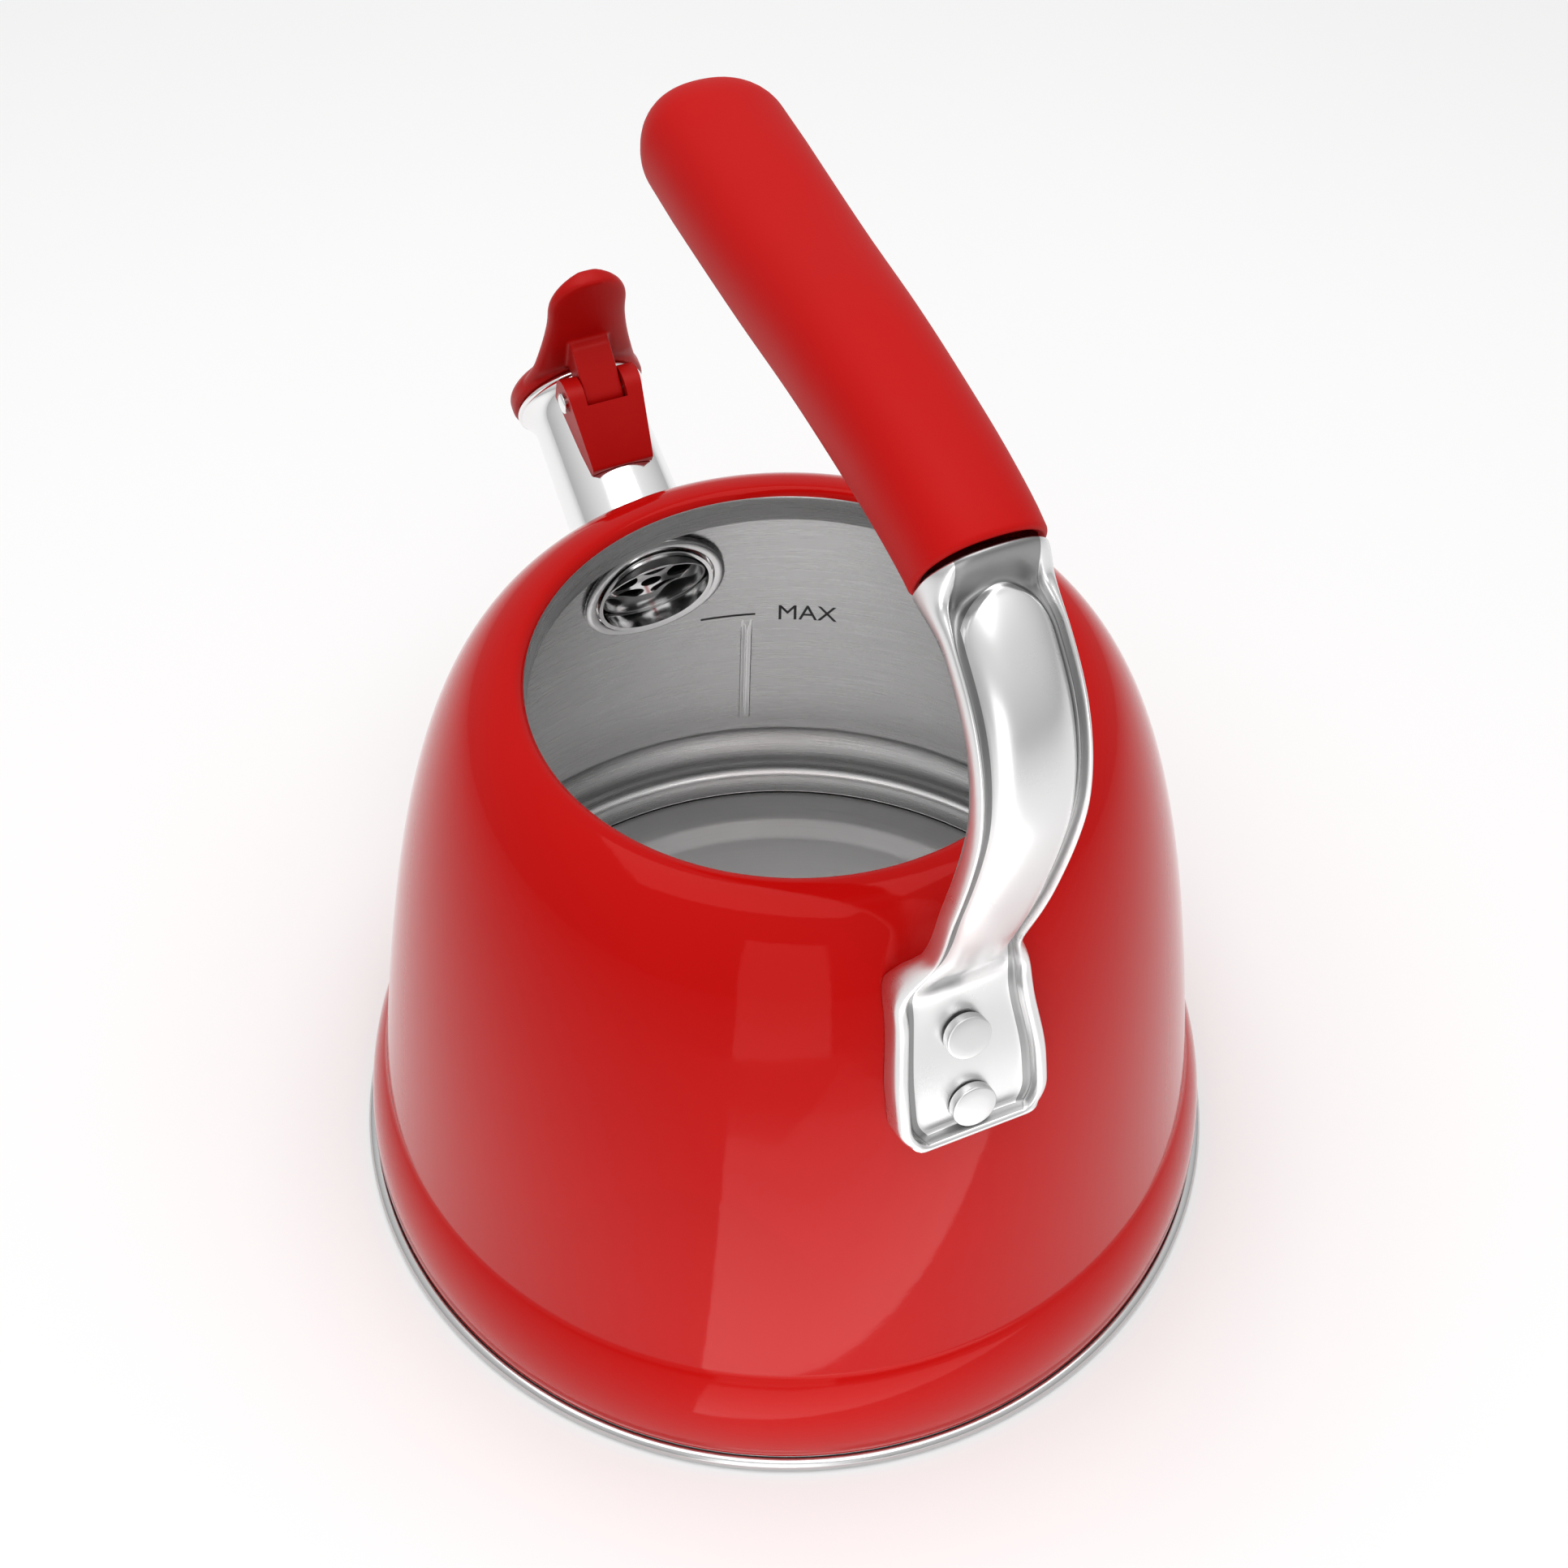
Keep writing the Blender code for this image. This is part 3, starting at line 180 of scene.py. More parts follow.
def cut(piece, tool, sharp=40):
    """Take the volume of a closed tool out of a piece."""
    cutter = put_in_scene("cutter", close_mesh("cutter", tool))
    step = piece.modifiers.new("Cut", "BOOLEAN")
    step.operation = "DIFFERENCE"
    step.object = cutter
    settle(piece, sharp)
    bpy.data.objects.remove(cutter)


def drill(radius, low, high, place, sides=48):
    """A round tool along Z, moved to its place."""
    tool = turn(bmesh.new(), [(0, low), (radius, low), (radius, high), (0, high)], 0, sides)
    bmesh.ops.transform(tool, matrix=place, verts=tool.verts[:])
    return tool


def feed(tree, made, inputs):
    """Give a node's inputs their values, or link them to other nodes' outputs."""
    for name, value in inputs.items():
        if isinstance(value, bpy.types.NodeSocket):
            tree.links.new(value, made.inputs[name])
        else:
            made.inputs[name].default_value = value
    return made


def node(tree, kind, inputs=None, **settings):
    """Add a shader node. An input takes a value or another node's output."""
    made = tree.nodes.new("ShaderNode" + kind)
    for name, value in settings.items():
        setattr(made, name, value)
    return feed(tree, made, inputs or {})


def spread(tree, value, start, end, low, high):
    """Map a value between start and end to one between low and high."""
    span = {"Value": value, "From Min": start, "From Max": end, "To Min": low, "To Max": high}
    return node(tree, "MapRange", span).outputs["Result"]


def two_colours(tree, factor, first, second):
    """A colour that goes from the first to the second."""
    ends = {"Factor": factor, "A": (*first, 1), "B": (*second, 1)}
    return node(tree, "Mix", ends, data_type="RGBA").outputs["Result"]


def noise(tree, vector, scale, detail):
    """A cloudy value with its size and its detail."""
    return node(tree, "TexNoise", {"Vector": vector, "Scale": scale, "Detail": detail}).outputs["Fac"]


def relief(tree, shader, height, strength, distance):
    """Turn a height into the shader's surface direction."""
    bump = node(tree, "Bump", {"Height": height, "Strength": strength, "Distance": distance})
    tree.links.new(bump.outputs["Normal"], shader.inputs["Normal"])


def new_effect(name, values, outputs):
    """A shader node group with a vector, its values and its outputs, and its two end nodes."""
    tree = bpy.data.node_groups.new(name, "ShaderNodeTree")
    tree.interface.new_socket(name="Vector", in_out="INPUT", socket_type="NodeSocketVector")
    for label, value in values.items():
        socket = tree.interface.new_socket(name=label, in_out="INPUT", socket_type="NodeSocketFloat")
        socket.default_value = value
    for label in outputs:
        tree.interface.new_socket(name=label, in_out="OUTPUT", socket_type="NodeSocketFloat")
    return tree, tree.nodes.new("NodeGroupInput").outputs, tree.nodes.new("NodeGroupOutput").inputs


def place_effect(tree, effect, inputs):
    """Use an effect in a material with the material's own values."""
    made = tree.nodes.new("ShaderNodeGroup")
    made.node_tree = effect
    return feed(tree, made, inputs).outputs


def new_finish(name):
    """A material with its tree, its main shader and the piece's own coordinates."""
    finish = bpy.data.materials.new(name)
    finish.use_nodes = True
    tree = finish.node_tree
    coordinates = tree.nodes.new("ShaderNodeTexCoord").outputs["Object"]
    return finish, tree, tree.nodes["Principled BSDF"], coordinates


def make_handling_marks():
    """Faint smears and dust that change the gloss, with a shallow unevenness of the surface."""
    values = {"Clean": 0.1, "Smeared": 0.2, "Size": 20.0, "Waves": 400.0}
    tree, given, wanted = new_effect("handling_marks", values, ("Roughness", "Height", "Cloud"))
    smear = noise(tree, given["Vector"], given["Size"], 5.0)
    gloss = spread(tree, smear, 0.35, 0.75, given["Clean"], given["Smeared"])
    tree.links.new(gloss, wanted["Roughness"])
    tree.links.new(noise(tree, given["Vector"], given["Waves"], 2.0), wanted["Height"])
    tree.links.new(smear, wanted["Cloud"])
    return tree


def make_brushed_lines():
    """Fine lines that run round the kettle's axis: level on a wall, in rings on a floor."""
    values = {"Lines": 2600.0, "Smooth": 0.24, "Rough": 0.36}
    tree, given, wanted = new_effect("brushed_lines", values, ("Roughness", "Height", "Shade"))
    apart = node(tree, "SeparateXYZ", {"Vector": given["Vector"]})
    flat = node(tree, "CombineXYZ", {"X": apart.outputs["X"], "Y": apart.outputs["Y"]})
    radius = node(tree, "VectorMath", {0: flat.outputs["Vector"]}, operation="LENGTH")
    across = node(tree, "Math", {0: radius.outputs["Value"], 1: apart.outputs["Z"]}, operation="ADD")
    fine = node(tree, "Math", {0: across.outputs["Value"], 1: given["Lines"]}, operation="MULTIPLY")
    around = node(tree, "VectorMath", {0: flat.outputs["Vector"], "Scale": 45.0}, operation="SCALE")
    ring = node(tree, "SeparateXYZ", {"Vector": around.outputs["Vector"]})
    place = {"X": ring.outputs["X"], "Y": ring.outputs["Y"], "Z": fine.outputs["Value"]}
    lines = noise(tree, node(tree, "CombineXYZ", place).outputs["Vector"], 1.0, 4.0)
    tree.links.new(spread(tree, lines, 0.3, 0.7, given["Smooth"], given["Rough"]), wanted["Roughness"])
    tree.links.new(lines, wanted["Height"])
    tree.links.new(spread(tree, lines, 0.3, 0.7, 0.86, 1.0), wanted["Shade"])
    return tree


handling_marks = make_handling_marks()
brushed_lines = make_brushed_lines()


def make_red_enamel():
    """Glassy red enamel with a faint ripple, a little darker where it lies thick."""
    finish, tree, shader, coordinates = new_finish("red_enamel")
    values = {"Vector": coordinates, "Clean": 0.055, "Smeared": 0.10, "Size": 14.0, "Waves": 260.0}
    marks = place_effect(tree, handling_marks, values)
    colour = two_colours(tree, marks["Cloud"], (0.42, 0.0030, 0.0026), (0.48, 0.0045, 0.0036))
    tree.links.new(colour, shader.inputs["Base Color"])
    tree.links.new(marks["Roughness"], shader.inputs["Roughness"])
    relief(tree, shader, marks["Height"], 0.05, 0.0004)
    shader.inputs["Specular IOR Level"].default_value = 0.22
    shader.inputs["Specular Tint"].default_value = (1.0, 0.30, 0.28, 1)
    return finish


def make_brushed_steel(name, colour, smooth, rough, lines=2600.0, depth=0.00003, metallic=1.0):
    """Bare stainless steel with brushed lines round the kettle's axis."""
    finish, tree, shader, coordinates = new_finish(name)
    values = {"Vector": coordinates, "Lines": lines, "Smooth": smooth, "Rough": rough}
    brushed = place_effect(tree, brushed_lines, values)
    tone = two_colours(tree, brushed["Shade"], (colour * 0.7,) * 3, (colour,) * 3)
    tree.links.new(tone, shader.inputs["Base Color"])
    tree.links.new(brushed["Roughness"], shader.inputs["Roughness"])
    relief(tree, shader, brushed["Height"], 0.35, depth)
    shader.inputs["Metallic"].default_value = metallic
    return finish


red_enamel = make_red_enamel()
inner_steel = make_brushed_steel("inner_steel", 0.72, 0.24, 0.34, 2600.0, 0.000012)


def wall_line(steps):
    """The leaning wall, from the crease up to the crown."""
    start = (crease_radius, crease_top)
    lean = (math.sin(wall_lean), math.cos(wall_lean))
    lower = (crease_radius - wall_pull * lean[0], crease_top + wall_pull * lean[1])
    end = (mouth_radius + crown_round, body_high.z)
    return bezier((start, lower, (end[0] + crown_pull, end[1]), end), steps)


def foot_line(steps):
    """The pressed foot, from the hem up to the crease."""
    height = foot_top - body_low.z
    start = (hem_radius, body_low.z)
    lower = (hem_radius + 0.16 * crease_inset, body_low.z + 0.42 * height)
    upper = (hem_radius - 0.35 * crease_inset, body_low.z + 0.84 * height)
    return bezier((start, lower, upper, (crease_radius + 0.02 * crease_inset, foot_top)), steps)


fine_wall = wall_line(64)


def wall_radius(height):
    """The wall's outside radius at a height."""
    for low, high in zip(fine_wall, fine_wall[1:]):
        if low[1] <= height <= high[1]:
            return low[0] + (high[0] - low[0]) * (height - low[1]) / (high[1] - low[1])
    return fine_wall[0][0]


outside = foot_line(16) + wall_line(44)
crown = arc((mouth_radius + crown_round, body_high.z - crown_round), crown_round, 90, 180, 12)[1:]
painted_points = 9
neck = [(mouth_radius, body_high.z - 0.5 * crown_round - 0.003), (mouth_radius, neck_bottom)]
skin_line = outside + crown + neck
inside = offset_line(skin_line, sheet)
inside[-1] = (mouth_radius + sheet, neck_bottom)
inside = [point for point in inside if point[1] > flange_top + flange_round]
corner = (inside[0][0] - flange_round, flange_top + flange_round)
flange = arc(corner, flange_round, -5, -90, 8)
flange += rounded(
    [
        flange[-1],
        (flange_edge, flange_top),
        (flange_edge, flange_under),
        (hem_radius - hem_width, flange_under),
        (hem_radius - hem_width, body_low.z),
        (hem_radius, body_low.z),
    ],
    0.0003,
)[1:]

joint_shadow = make_brushed_steel("joint_shadow", 0.03, 0.5, 0.6)
shell = turn(bmesh.new(), outside + crown[:painted_points])
bare = rounded(crown[painted_points - 1 :] + neck + [inside[-1], inside[-2]], 0.0003)
turn(shell, bare + inside[-3::-1] + flange, slot=1)
for face in shell.faces:
    middle = face.calc_center_median()
    if middle.z < flange_top - 0.0001 and abs(middle.xy.length - flange_edge) < 0.0002:
        face.material_index = 2
shell_finishes = [red_enamel, inner_steel, joint_shadow]
enamelled_body = add_piece("enamelled_body", shell, shell_finishes, ["body_shell"], sharp=35)

# ---- weld seam and level mark
# The wall is rolled from flat sheet, so one upright weld runs down its inside, planished flat between
# two fine ridges. Beside it a short line and a word, printed in dark ink, mark the highest water level.

seam_angle = math.radians(163)
seam_half_width = 0.0013
seam_ridge = 0.00030
seam_bottom = 0.036
seam_top = 0.080
mark_height = 0.082
mark_line = (math.radians(170.8), math.radians(161.6))
mark_line_thickness = 0.0008
word_angle = math.radians(153)
word_width = 0.0157
word_stretch = 1.22
ink_thickness = 0.00005


def on_inner_wall(angle, height, proud):
    """A point at an angle and a height, standing a little proud of the inner wall."""
    radius = wall_radius(height) - sheet - proud
    return Vector((radius * math.cos(angle), radius * math.sin(angle), height))


seam = bmesh.new()
half_seam = [(0.55, 0.15), (0.8, 1.0), (1.0, 0.7), (1.25, -0.3)]
section = [(-side, height) for side, height in half_seam[::-1]] + [(0, 0)] + half_seam
seam_rows = 40
bmesh.ops.create_grid(seam, x_segments=len(section) - 1, y_segments=seam_rows, size=1)
for corner in seam.verts:
    column = round((corner.co.x + 1) / 2 * (len(section) - 1))
    share = (corner.co.y + 1) / 2
    side, height = section[column]
    fade = min(1, 8 * (1 - share))
    level = seam_bottom + (seam_top - seam_bottom) * share
    angle = seam_angle - side * seam_half_width / (wall_radius(level) - sheet)
    corner.co = on_inner_wall(angle, level, seam_ridge * height * fade + 0.00001)
seam_steel = make_brushed_steel("seam_steel", 0.97, 0.14, 0.24)
add_piece("weld_seam", seam, [seam_steel], [], sharp=60)


def make_dark_ink():
    """Baked black ink with a slightly uneven cover."""
    finish, tree, shader, coordinates = new_finish("dark_ink")
    values = {"Vector": coordinates, "Clean": 0.4, "Smeared": 0.6, "Size": 900.0}
    marks = place_effect(tree, handling_marks, values)
    colour = two_colours(tree, marks["Cloud"], (0.008, 0.008, 0.009), (0.03, 0.03, 0.032))
    tree.links.new(colour, shader.inputs["Base Color"])
    tree.links.new(marks["Roughness"], shader.inputs["Roughness"])
    return finish


dark_ink = make_dark_ink()
line_bar = bmesh.new()
bmesh.ops.create_cube(line_bar, size=1)
bmesh.ops.subdivide_edges(
    line_bar, edges=[e for e in line_bar.edges if abs(e.verts[0].co.x - e.verts[1].co.x) > 0.5], cuts=11
)
for corner in line_bar.verts:
    angle = mark_line[0] + (mark_line[1] - mark_line[0]) * (corner.co.x + 0.5)
    height = mark_height + mark_line_thickness * corner.co.z
    corner.co = on_inner_wall(angle, height, ink_thickness * (0.5 + corner.co.y))
add_piece("level_line", line_bar, [dark_ink], [])

lettering = bpy.data.curves.new("level_word", "FONT")
lettering.body = "MAX"
lettering.align_x = "CENTER"
lettering.align_y = "CENTER"
lettering.resolution_u = 3
lettering.extrude = 0.5
word_object = bpy.data.objects.new("word", lettering)
bpy.context.scene.collection.objects.link(word_object)
word = bmesh.new()
word.from_mesh(bpy.data.meshes.new_from_object(word_object))
bpy.data.objects.remove(word_object)
word_size = word_width / (2 * max(corner.co.x for corner in word.verts))
for corner in word.verts:
    angle = word_angle - corner.co.x * word_size / (wall_radius(mark_height) - sheet)
    height = mark_height + corner.co.y * word_size * word_stretch
    corner.co = on_inner_wall(angle, height, ink_thickness * (0.5 + corner.co.z))
add_piece("level_word", word, [dark_ink], [])

# ---- base
# A steel cap with a polished rolled rim is pressed over an aluminium core. Above the core lies the pan
# that closes the body: a flat brushed floor, a short step and a flange under the body's own.

pan_low, pan_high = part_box("bottom_pan")
core_low, core_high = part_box("base_core")
rim_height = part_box("base_cap")[1].z
pan_sheet = 0.0007
pan_floor_radius = 0.080
pan_step_radius = 0.085
cap_sheet = 0.0007


def make_polished_steel(name, colour, clean, smeared, ripple=0.04):
    """Mirror-polished stainless steel with faint smears and a slight ripple from the press."""
    finish, tree, shader, coordinates = new_finish(name)
    values = {"Vector": coordinates, "Clean": clean, "Smeared": smeared, "Size": 60.0, "Waves": 120.0}
    marks = place_effect(tree, handling_marks, values)
    tone = two_colours(tree, marks["Cloud"], (colour * 0.97,) * 3, (colour,) * 3)
    tree.links.new(tone, shader.inputs["Base Color"])
    tree.links.new(marks["Roughness"], shader.inputs["Roughness"])
    relief(tree, shader, marks["Height"], ripple, 0.0006)
    shader.inputs["Metallic"].default_value = 1.0
    return finish


base_steel = make_brushed_steel("base_steel", 0.58, 0.14, 0.26, 1500.0)
floor_steel = make_brushed_steel("floor_steel", 0.97, 0.34, 0.48, 1900.0, 0.00002, 0.5)
core_metal = make_brushed_steel("core_aluminium", 0.68, 0.35, 0.50, 900.0)
polished_steel = make_polished_steel("polished_steel", 0.90, 0.09, 0.17)

rim = arc((base_radius - rim_height / 2, rim_height / 2), rim_height / 2, -90, 90, 14)
cap_inner = hem_radius + 0.0002
base_line = [(0, 0), (0.04, 0), (base_radius - 0.004, 0)] + rim
base_line += rounded([rim[-1], (cap_inner, rim_height), (cap_inner, cap_sheet), (0, cap_sheet)], 0.0002)[1:]
add_piece("base_cap_pressed", turn(bmesh.new(), base_line), [base_steel], ["base_cap"])

core_line = [(0, core_low.z), (core_high.x, core_low.z), (core_high.x, core_high.z), (0, core_high.z)]
core_line = rounded(core_line, 0.0004)
add_piece("base_core_disc", turn(bmesh.new(), core_line), [core_metal], ["base_core"])

pan_under = pan_high.z - pan_sheet
pan_line = rounded(
    [
        (0, pan_low.z),
        (pan_floor_radius, pan_low.z),
        (pan_step_radius, pan_under),
        (pan_high.x, pan_under),
        (pan_high.x, pan_high.z),
        (pan_step_radius, pan_high.z),
        (pan_floor_radius, pan_low.z + pan_sheet),
        (0, pan_low.z + pan_sheet),
    ],
    0.0012,
)
add_piece("floor_pan", turn(bmesh.new(), pan_line), [floor_steel], ["bottom_pan"])

# ---- spout
# A tapered tube of polished steel with a rolled lip stands through the wall. Inside, a domed ring
# clinches it to the wall, and a dished strainer with round flared holes is pressed into its mouth.

hinge = Vector(frame["joints"][0]["pos_m"])
tube_tilt = math.radians(27)
tube_length = 0.0512
root_radius = 0.0150
tube_neck_radius = 0.0138
tube_sheet = 0.001
lip_radius = 0.0166
lip_length = 0.0062
lip_bead = 0.0009
pin_place = tube_length - 0.0085


def tube_radius(place):
    """The tube's outside radius along its straight part."""
    return root_radius + (tube_neck_radius - root_radius) * place / (tube_length - lip_length)


pin_height = tube_radius(pin_place) + 0.0047
tube_turn = Matrix.Rotation(tube_tilt - math.pi / 2, 4, "Y")
hinge_place = Matrix.Translation(hinge) @ tube_turn
spout_place = hinge_place @ Matrix.Translation((-pin_height, 0, -pin_place))


def wall_depth(up, side):
    """How far along the tube the body's outside lies, beside the tube's axis."""
    near, far = -0.02, 0.02
    for _ in range(16):
        middle = (near + far) / 2
        point = spout_place @ Vector((up, side, middle))
        if math.hypot(point.x, point.y) < wall_radius(point.z):
            near = middle
        else:
            far = middle
    return (near + far) / 2


def set_in_place(bm, place):
    """Move a piece made at the origin to its place."""
    bmesh.ops.transform(bm, matrix=place, verts=bm.verts[:])
    return bm


tube_start = -0.004
neck_place = tube_length - lip_length
flare = (lip_radius - 0.7 * lip_bead, tube_length - 0.8 * lip_bead)
tube_line = [(tube_radius(tube_start), tube_start)]
tube_line += [(tube_radius(place), place) for place in (0.0, 0.012, 0.024, 0.036)]
tube_line += bezier(
    (
        (tube_neck_radius, neck_place),
        (tube_neck_radius, tube_length - 0.4 * lip_length),
        (flare[0], flare[1] - 0.2 * lip_length),
        flare,
    ),
    10,
)
bore_line = offset_line(tube_line, tube_sheet)
lip = arc((lip_radius - lip_bead, tube_length), lip_bead, -30, 150, 12)
tube = turn(bmesh.new(), tube_line + lip + bore_line[::-1] + [tube_line[0]], 0, 96)
for corner in tube.verts:
    if corner.co.z < tube_start + 0.0002:
        corner.co.z = wall_depth(corner.co.x, corner.co.y) - sheet - 0.0025
set_in_place(tube, spout_place)
add_piece("pouring_tube", tube, [polished_steel], ["spout_tube"])
cut(enamelled_body, drill(root_radius + 0.0003, -0.02, 0.02, spout_place, 96), 35)

ring_bore = tube_radius(0) + 0.0006
ring_radius = 0.0186
ring_thickness = 0.0016
ring_line = rounded(
    [
        (ring_bore, -0.0003),
        (ring_radius, -0.0003),
        (ring_radius, -0.0003 - 0.6 * ring_thickness),
        (ring_radius - 0.0011, -0.0003 - ring_thickness),
        (ring_bore, -0.0003 - ring_thickness),
        (ring_bore, -0.0003),
    ],
    0.0005,
)
ring = turn(bmesh.new(), ring_line, 0, 96)
for corner in ring.verts:
    corner.co.z += wall_depth(corner.co.x, corner.co.y) - sheet
set_in_place(ring, spout_place)
add_piece("clinch_ring", ring, [polished_steel], ["spout_collar"])

strainer_sheet = 0.0008
strainer_place = 0.002
strainer_rim = 0.005
strainer_dish = 0.003
strainer_holes = 5
strainer_hole_radius = 0.0039
strainer_eye_radius = 0.0027
seat = tube_radius(0) - tube_sheet - 0.0003
dish = strainer_place - strainer_dish
strainer_line = rounded(
    [
        (0, dish),
        (seat * 0.75, dish + strainer_dish * 0.2),
        (seat - strainer_sheet, strainer_place),
        (seat - strainer_sheet, strainer_place - strainer_rim),
        (seat, strainer_place - strainer_rim),
        (seat, strainer_place + strainer_sheet),
        (seat * 0.75, dish + strainer_dish * 0.2 + strainer_sheet),
        (0, dish + strainer_sheet),
    ],
    0.0009,
)
strainer_steel = make_polished_steel("strainer_steel", 0.96, 0.14, 0.22)
pressed_dish = set_in_place(turn(bmesh.new(), strainer_line, 0, 96), spout_place)
strainer = add_piece("strainer", pressed_dish, [strainer_steel], ["spout_strainer"])
hole_ring = seat - 2 * strainer_sheet - strainer_hole_radius
for index in range(strainer_holes):
    turned_out = Matrix.Rotation(math.tau * index / strainer_holes, 4, "Z")
    place = spout_place @ turned_out @ Matrix.Translation((hole_ring, 0, 0))
    cut(strainer, drill(strainer_hole_radius, -0.009, 0.009, place), 30)
cut(strainer, drill(strainer_eye_radius, -0.009, 0.009, spout_place), 30)
hole_edges = strainer.modifiers.new("Flared edges", "BEVEL")
hole_edges.width = 0.00025
hole_edges.segments = 3
hole_edges.limit_method = "ANGLE"
hole_edges.angle_limit = math.radians(50)

# ---- hinge saddle, pin and spring
# A moulded red saddle is riveted on the tube. Its two ears hold a steel pin with domed ends, and a
# small coil spring round the pin presses the whistle cap shut.

saddle_length = 0.0225
saddle_half_width = 0.0095
saddle_end_half_width = 0.0078
saddle_slot = 0.0052
ear_radius = 0.0056
saddle_end = pin_place + ear_radius - 0.001
saddle_start = saddle_end - saddle_length
rivet_place = saddle_start + 0.3 * saddle_length
pin_radius = 0.0015
pin_play = 0.0002
knuckle_radius = 0.0038


def make_moulded_skin():
    """The fine grain and the slight colour drift of a moulded plastic surface."""
    values = {"Grain": 2600.0, "Smooth": 0.4, "Rough": 0.55}
    tree, given, wanted = new_effect("moulded_skin", values, ("Roughness", "Height", "Drift"))
    drift = noise(tree, given["Vector"], 28.0, 4.0)
    tree.links.new(spread(tree, drift, 0.3, 0.7, given["Smooth"], given["Rough"]), wanted["Roughness"])
    tree.links.new(noise(tree, given["Vector"], given["Grain"], 3.0), wanted["Height"])
    tree.links.new(drift, wanted["Drift"])
    return tree


moulded_skin = make_moulded_skin()


def make_red_plastic(name, dark, light, smooth, rough, grain, depth, shine):
    """Red moulded plastic, with its two reds, its gloss and its grain."""
    finish, tree, shader, coordinates = new_finish(name)
    values = {"Vector": coordinates, "Grain": grain, "Smooth": smooth, "Rough": rough}
    surface = place_effect(tree, moulded_skin, values)
    tree.links.new(two_colours(tree, surface["Drift"], dark, light), shader.inputs["Base Color"])
    tree.links.new(surface["Roughness"], shader.inputs["Roughness"])
    relief(tree, shader, surface["Height"], 0.25, depth)
    shader.inputs["Specular IOR Level"].default_value = shine
    shader.inputs["Specular Tint"].default_value = (1.0, 0.40, 0.38, 1)
    return finish


cap_plastic = make_red_plastic(
    "red_plastic", (0.34, 0.0025, 0.0022), (0.42, 0.0040, 0.0030), 0.36, 0.46, 2600.0, 0.00006, 0.30
)


def slab(outline, low, high):
    """Extrude an outline of (x, z) points along Y."""
    bm = bmesh.new()
    face = bm.faces.new([bm.verts.new((x, low, z)) for x, z in outline])
    made = bmesh.ops.extrude_face_region(bm, geom=[face])["geom"]
    moved = [item for item in made if isinstance(item, bmesh.types.BMVert)]
    bmesh.ops.translate(bm, verts=moved, vec=(0, high - low, 0))
    return bm


def cross_drill(radius):
    """A drill through both ears, along the pin."""
    across = hinge_place @ Matrix.Rotation(math.pi / 2, 4, "X")
    return drill(radius, -0.02, 0.02, across)


def ease_edges(piece, width, segments=3, angle=35):
    """Round a piece's sharp edges and keep its flat faces flat."""
    edges = piece.modifiers.new("Eased edges", "BEVEL")
    edges.width = width
    edges.segments = segments
    edges.limit_method = "ANGLE"
    edges.angle_limit = math.radians(angle)
    edges.harden_normals = True


toe = tube_radius(saddle_start) + 0.0009
low = math.sqrt(tube_radius(saddle_start) ** 2 - saddle_half_width**2) + 0.0006
saddle_outline = [(low, saddle_end), (low, saddle_start + 0.0002), (toe, saddle_start)]
saddle_outline = rounded(saddle_outline + [(toe + 0.0006, saddle_start + 0.0008)], 0.0006)[1:]
saddle_outline += arc((pin_height, pin_place), ear_radius, -32, 80, 16)
saddle_outline.append((low + 0.002, saddle_end))
block = slab(saddle_outline, -saddle_half_width, saddle_half_width)
for corner in block.verts:
    far = max(0, (pin_place - corner.co.z) / (pin_place - saddle_start))
    corner.co.y *= 1 - far * (1 - saddle_end_half_width / saddle_half_width)
set_in_place(block, spout_place)
saddle = add_piece("hinge_saddle", block, [cap_plastic], ["spout_clip"], sharp=30)
under = [
    (0, saddle_start - 0.01),
    (tube_radius(saddle_start - 0.01) + 0.0003, saddle_start - 0.01),
    (tube_neck_radius + 0.0003, neck_place),
    (lip_radius - 0.001, tube_length - 0.0005),
    (0, tube_length - 0.0005),
]
cut(saddle, set_in_place(turn(bmesh.new(), under, 0, 96), spout_place), 30)
slot_start = pin_place - knuckle_radius - 0.0003
slot_end = saddle_end + ear_radius
slot_top = pin_height + 2 * ear_radius
slot_low = low - ear_radius
slot_outline = [(slot_low, slot_start), (slot_top, slot_start), (slot_top, slot_end), (slot_low, slot_end)]
cut(saddle, set_in_place(slab(slot_outline, -saddle_slot, saddle_slot), spout_place), 30)
cut(saddle, cross_drill(pin_radius + pin_play), 30)
ease_edges(saddle, 0.0006)

pin_half = saddle_half_width + 0.0003
pin_head = 0.0026
pin_dome = 0.0008
dome = [math.radians(angle) for angle in range(0, 76, 15)]
dome = [(pin_head * math.cos(angle), pin_half + pin_dome * math.sin(angle)) for angle in dome]
dome.append((0, pin_half + pin_dome))
pin_line = [(radius, -height) for radius, height in dome[::-1]]
pin_line += [(pin_radius, -pin_half), (pin_radius, pin_half)] + dome
pin = set_in_place(turn(bmesh.new(), pin_line, 0, 40), hinge_place @ Matrix.Rotation(math.pi / 2, 4, "X"))
add_piece("hinge_pin_turned", pin, [polished_steel], ["hinge_pin"])

wire_radius = 0.00035
coil_radius = 0.00225
coil_turns = 4
coil_pitch = 0.00095
leg = 0.0028
short_leg = leg * 0.3
coil_steps = 28


def push_out(bm, faces, length):
    """Draw the end of a wire out along Z and give its new face."""
    made = bmesh.ops.extrude_face_region(bm, geom=faces)["geom"]
    moved = [item for item in made if isinstance(item, bmesh.types.BMVert)]
    bmesh.ops.translate(bm, verts=moved, vec=(0, 0, length))
    return [item for item in made if isinstance(item, bmesh.types.BMFace)]


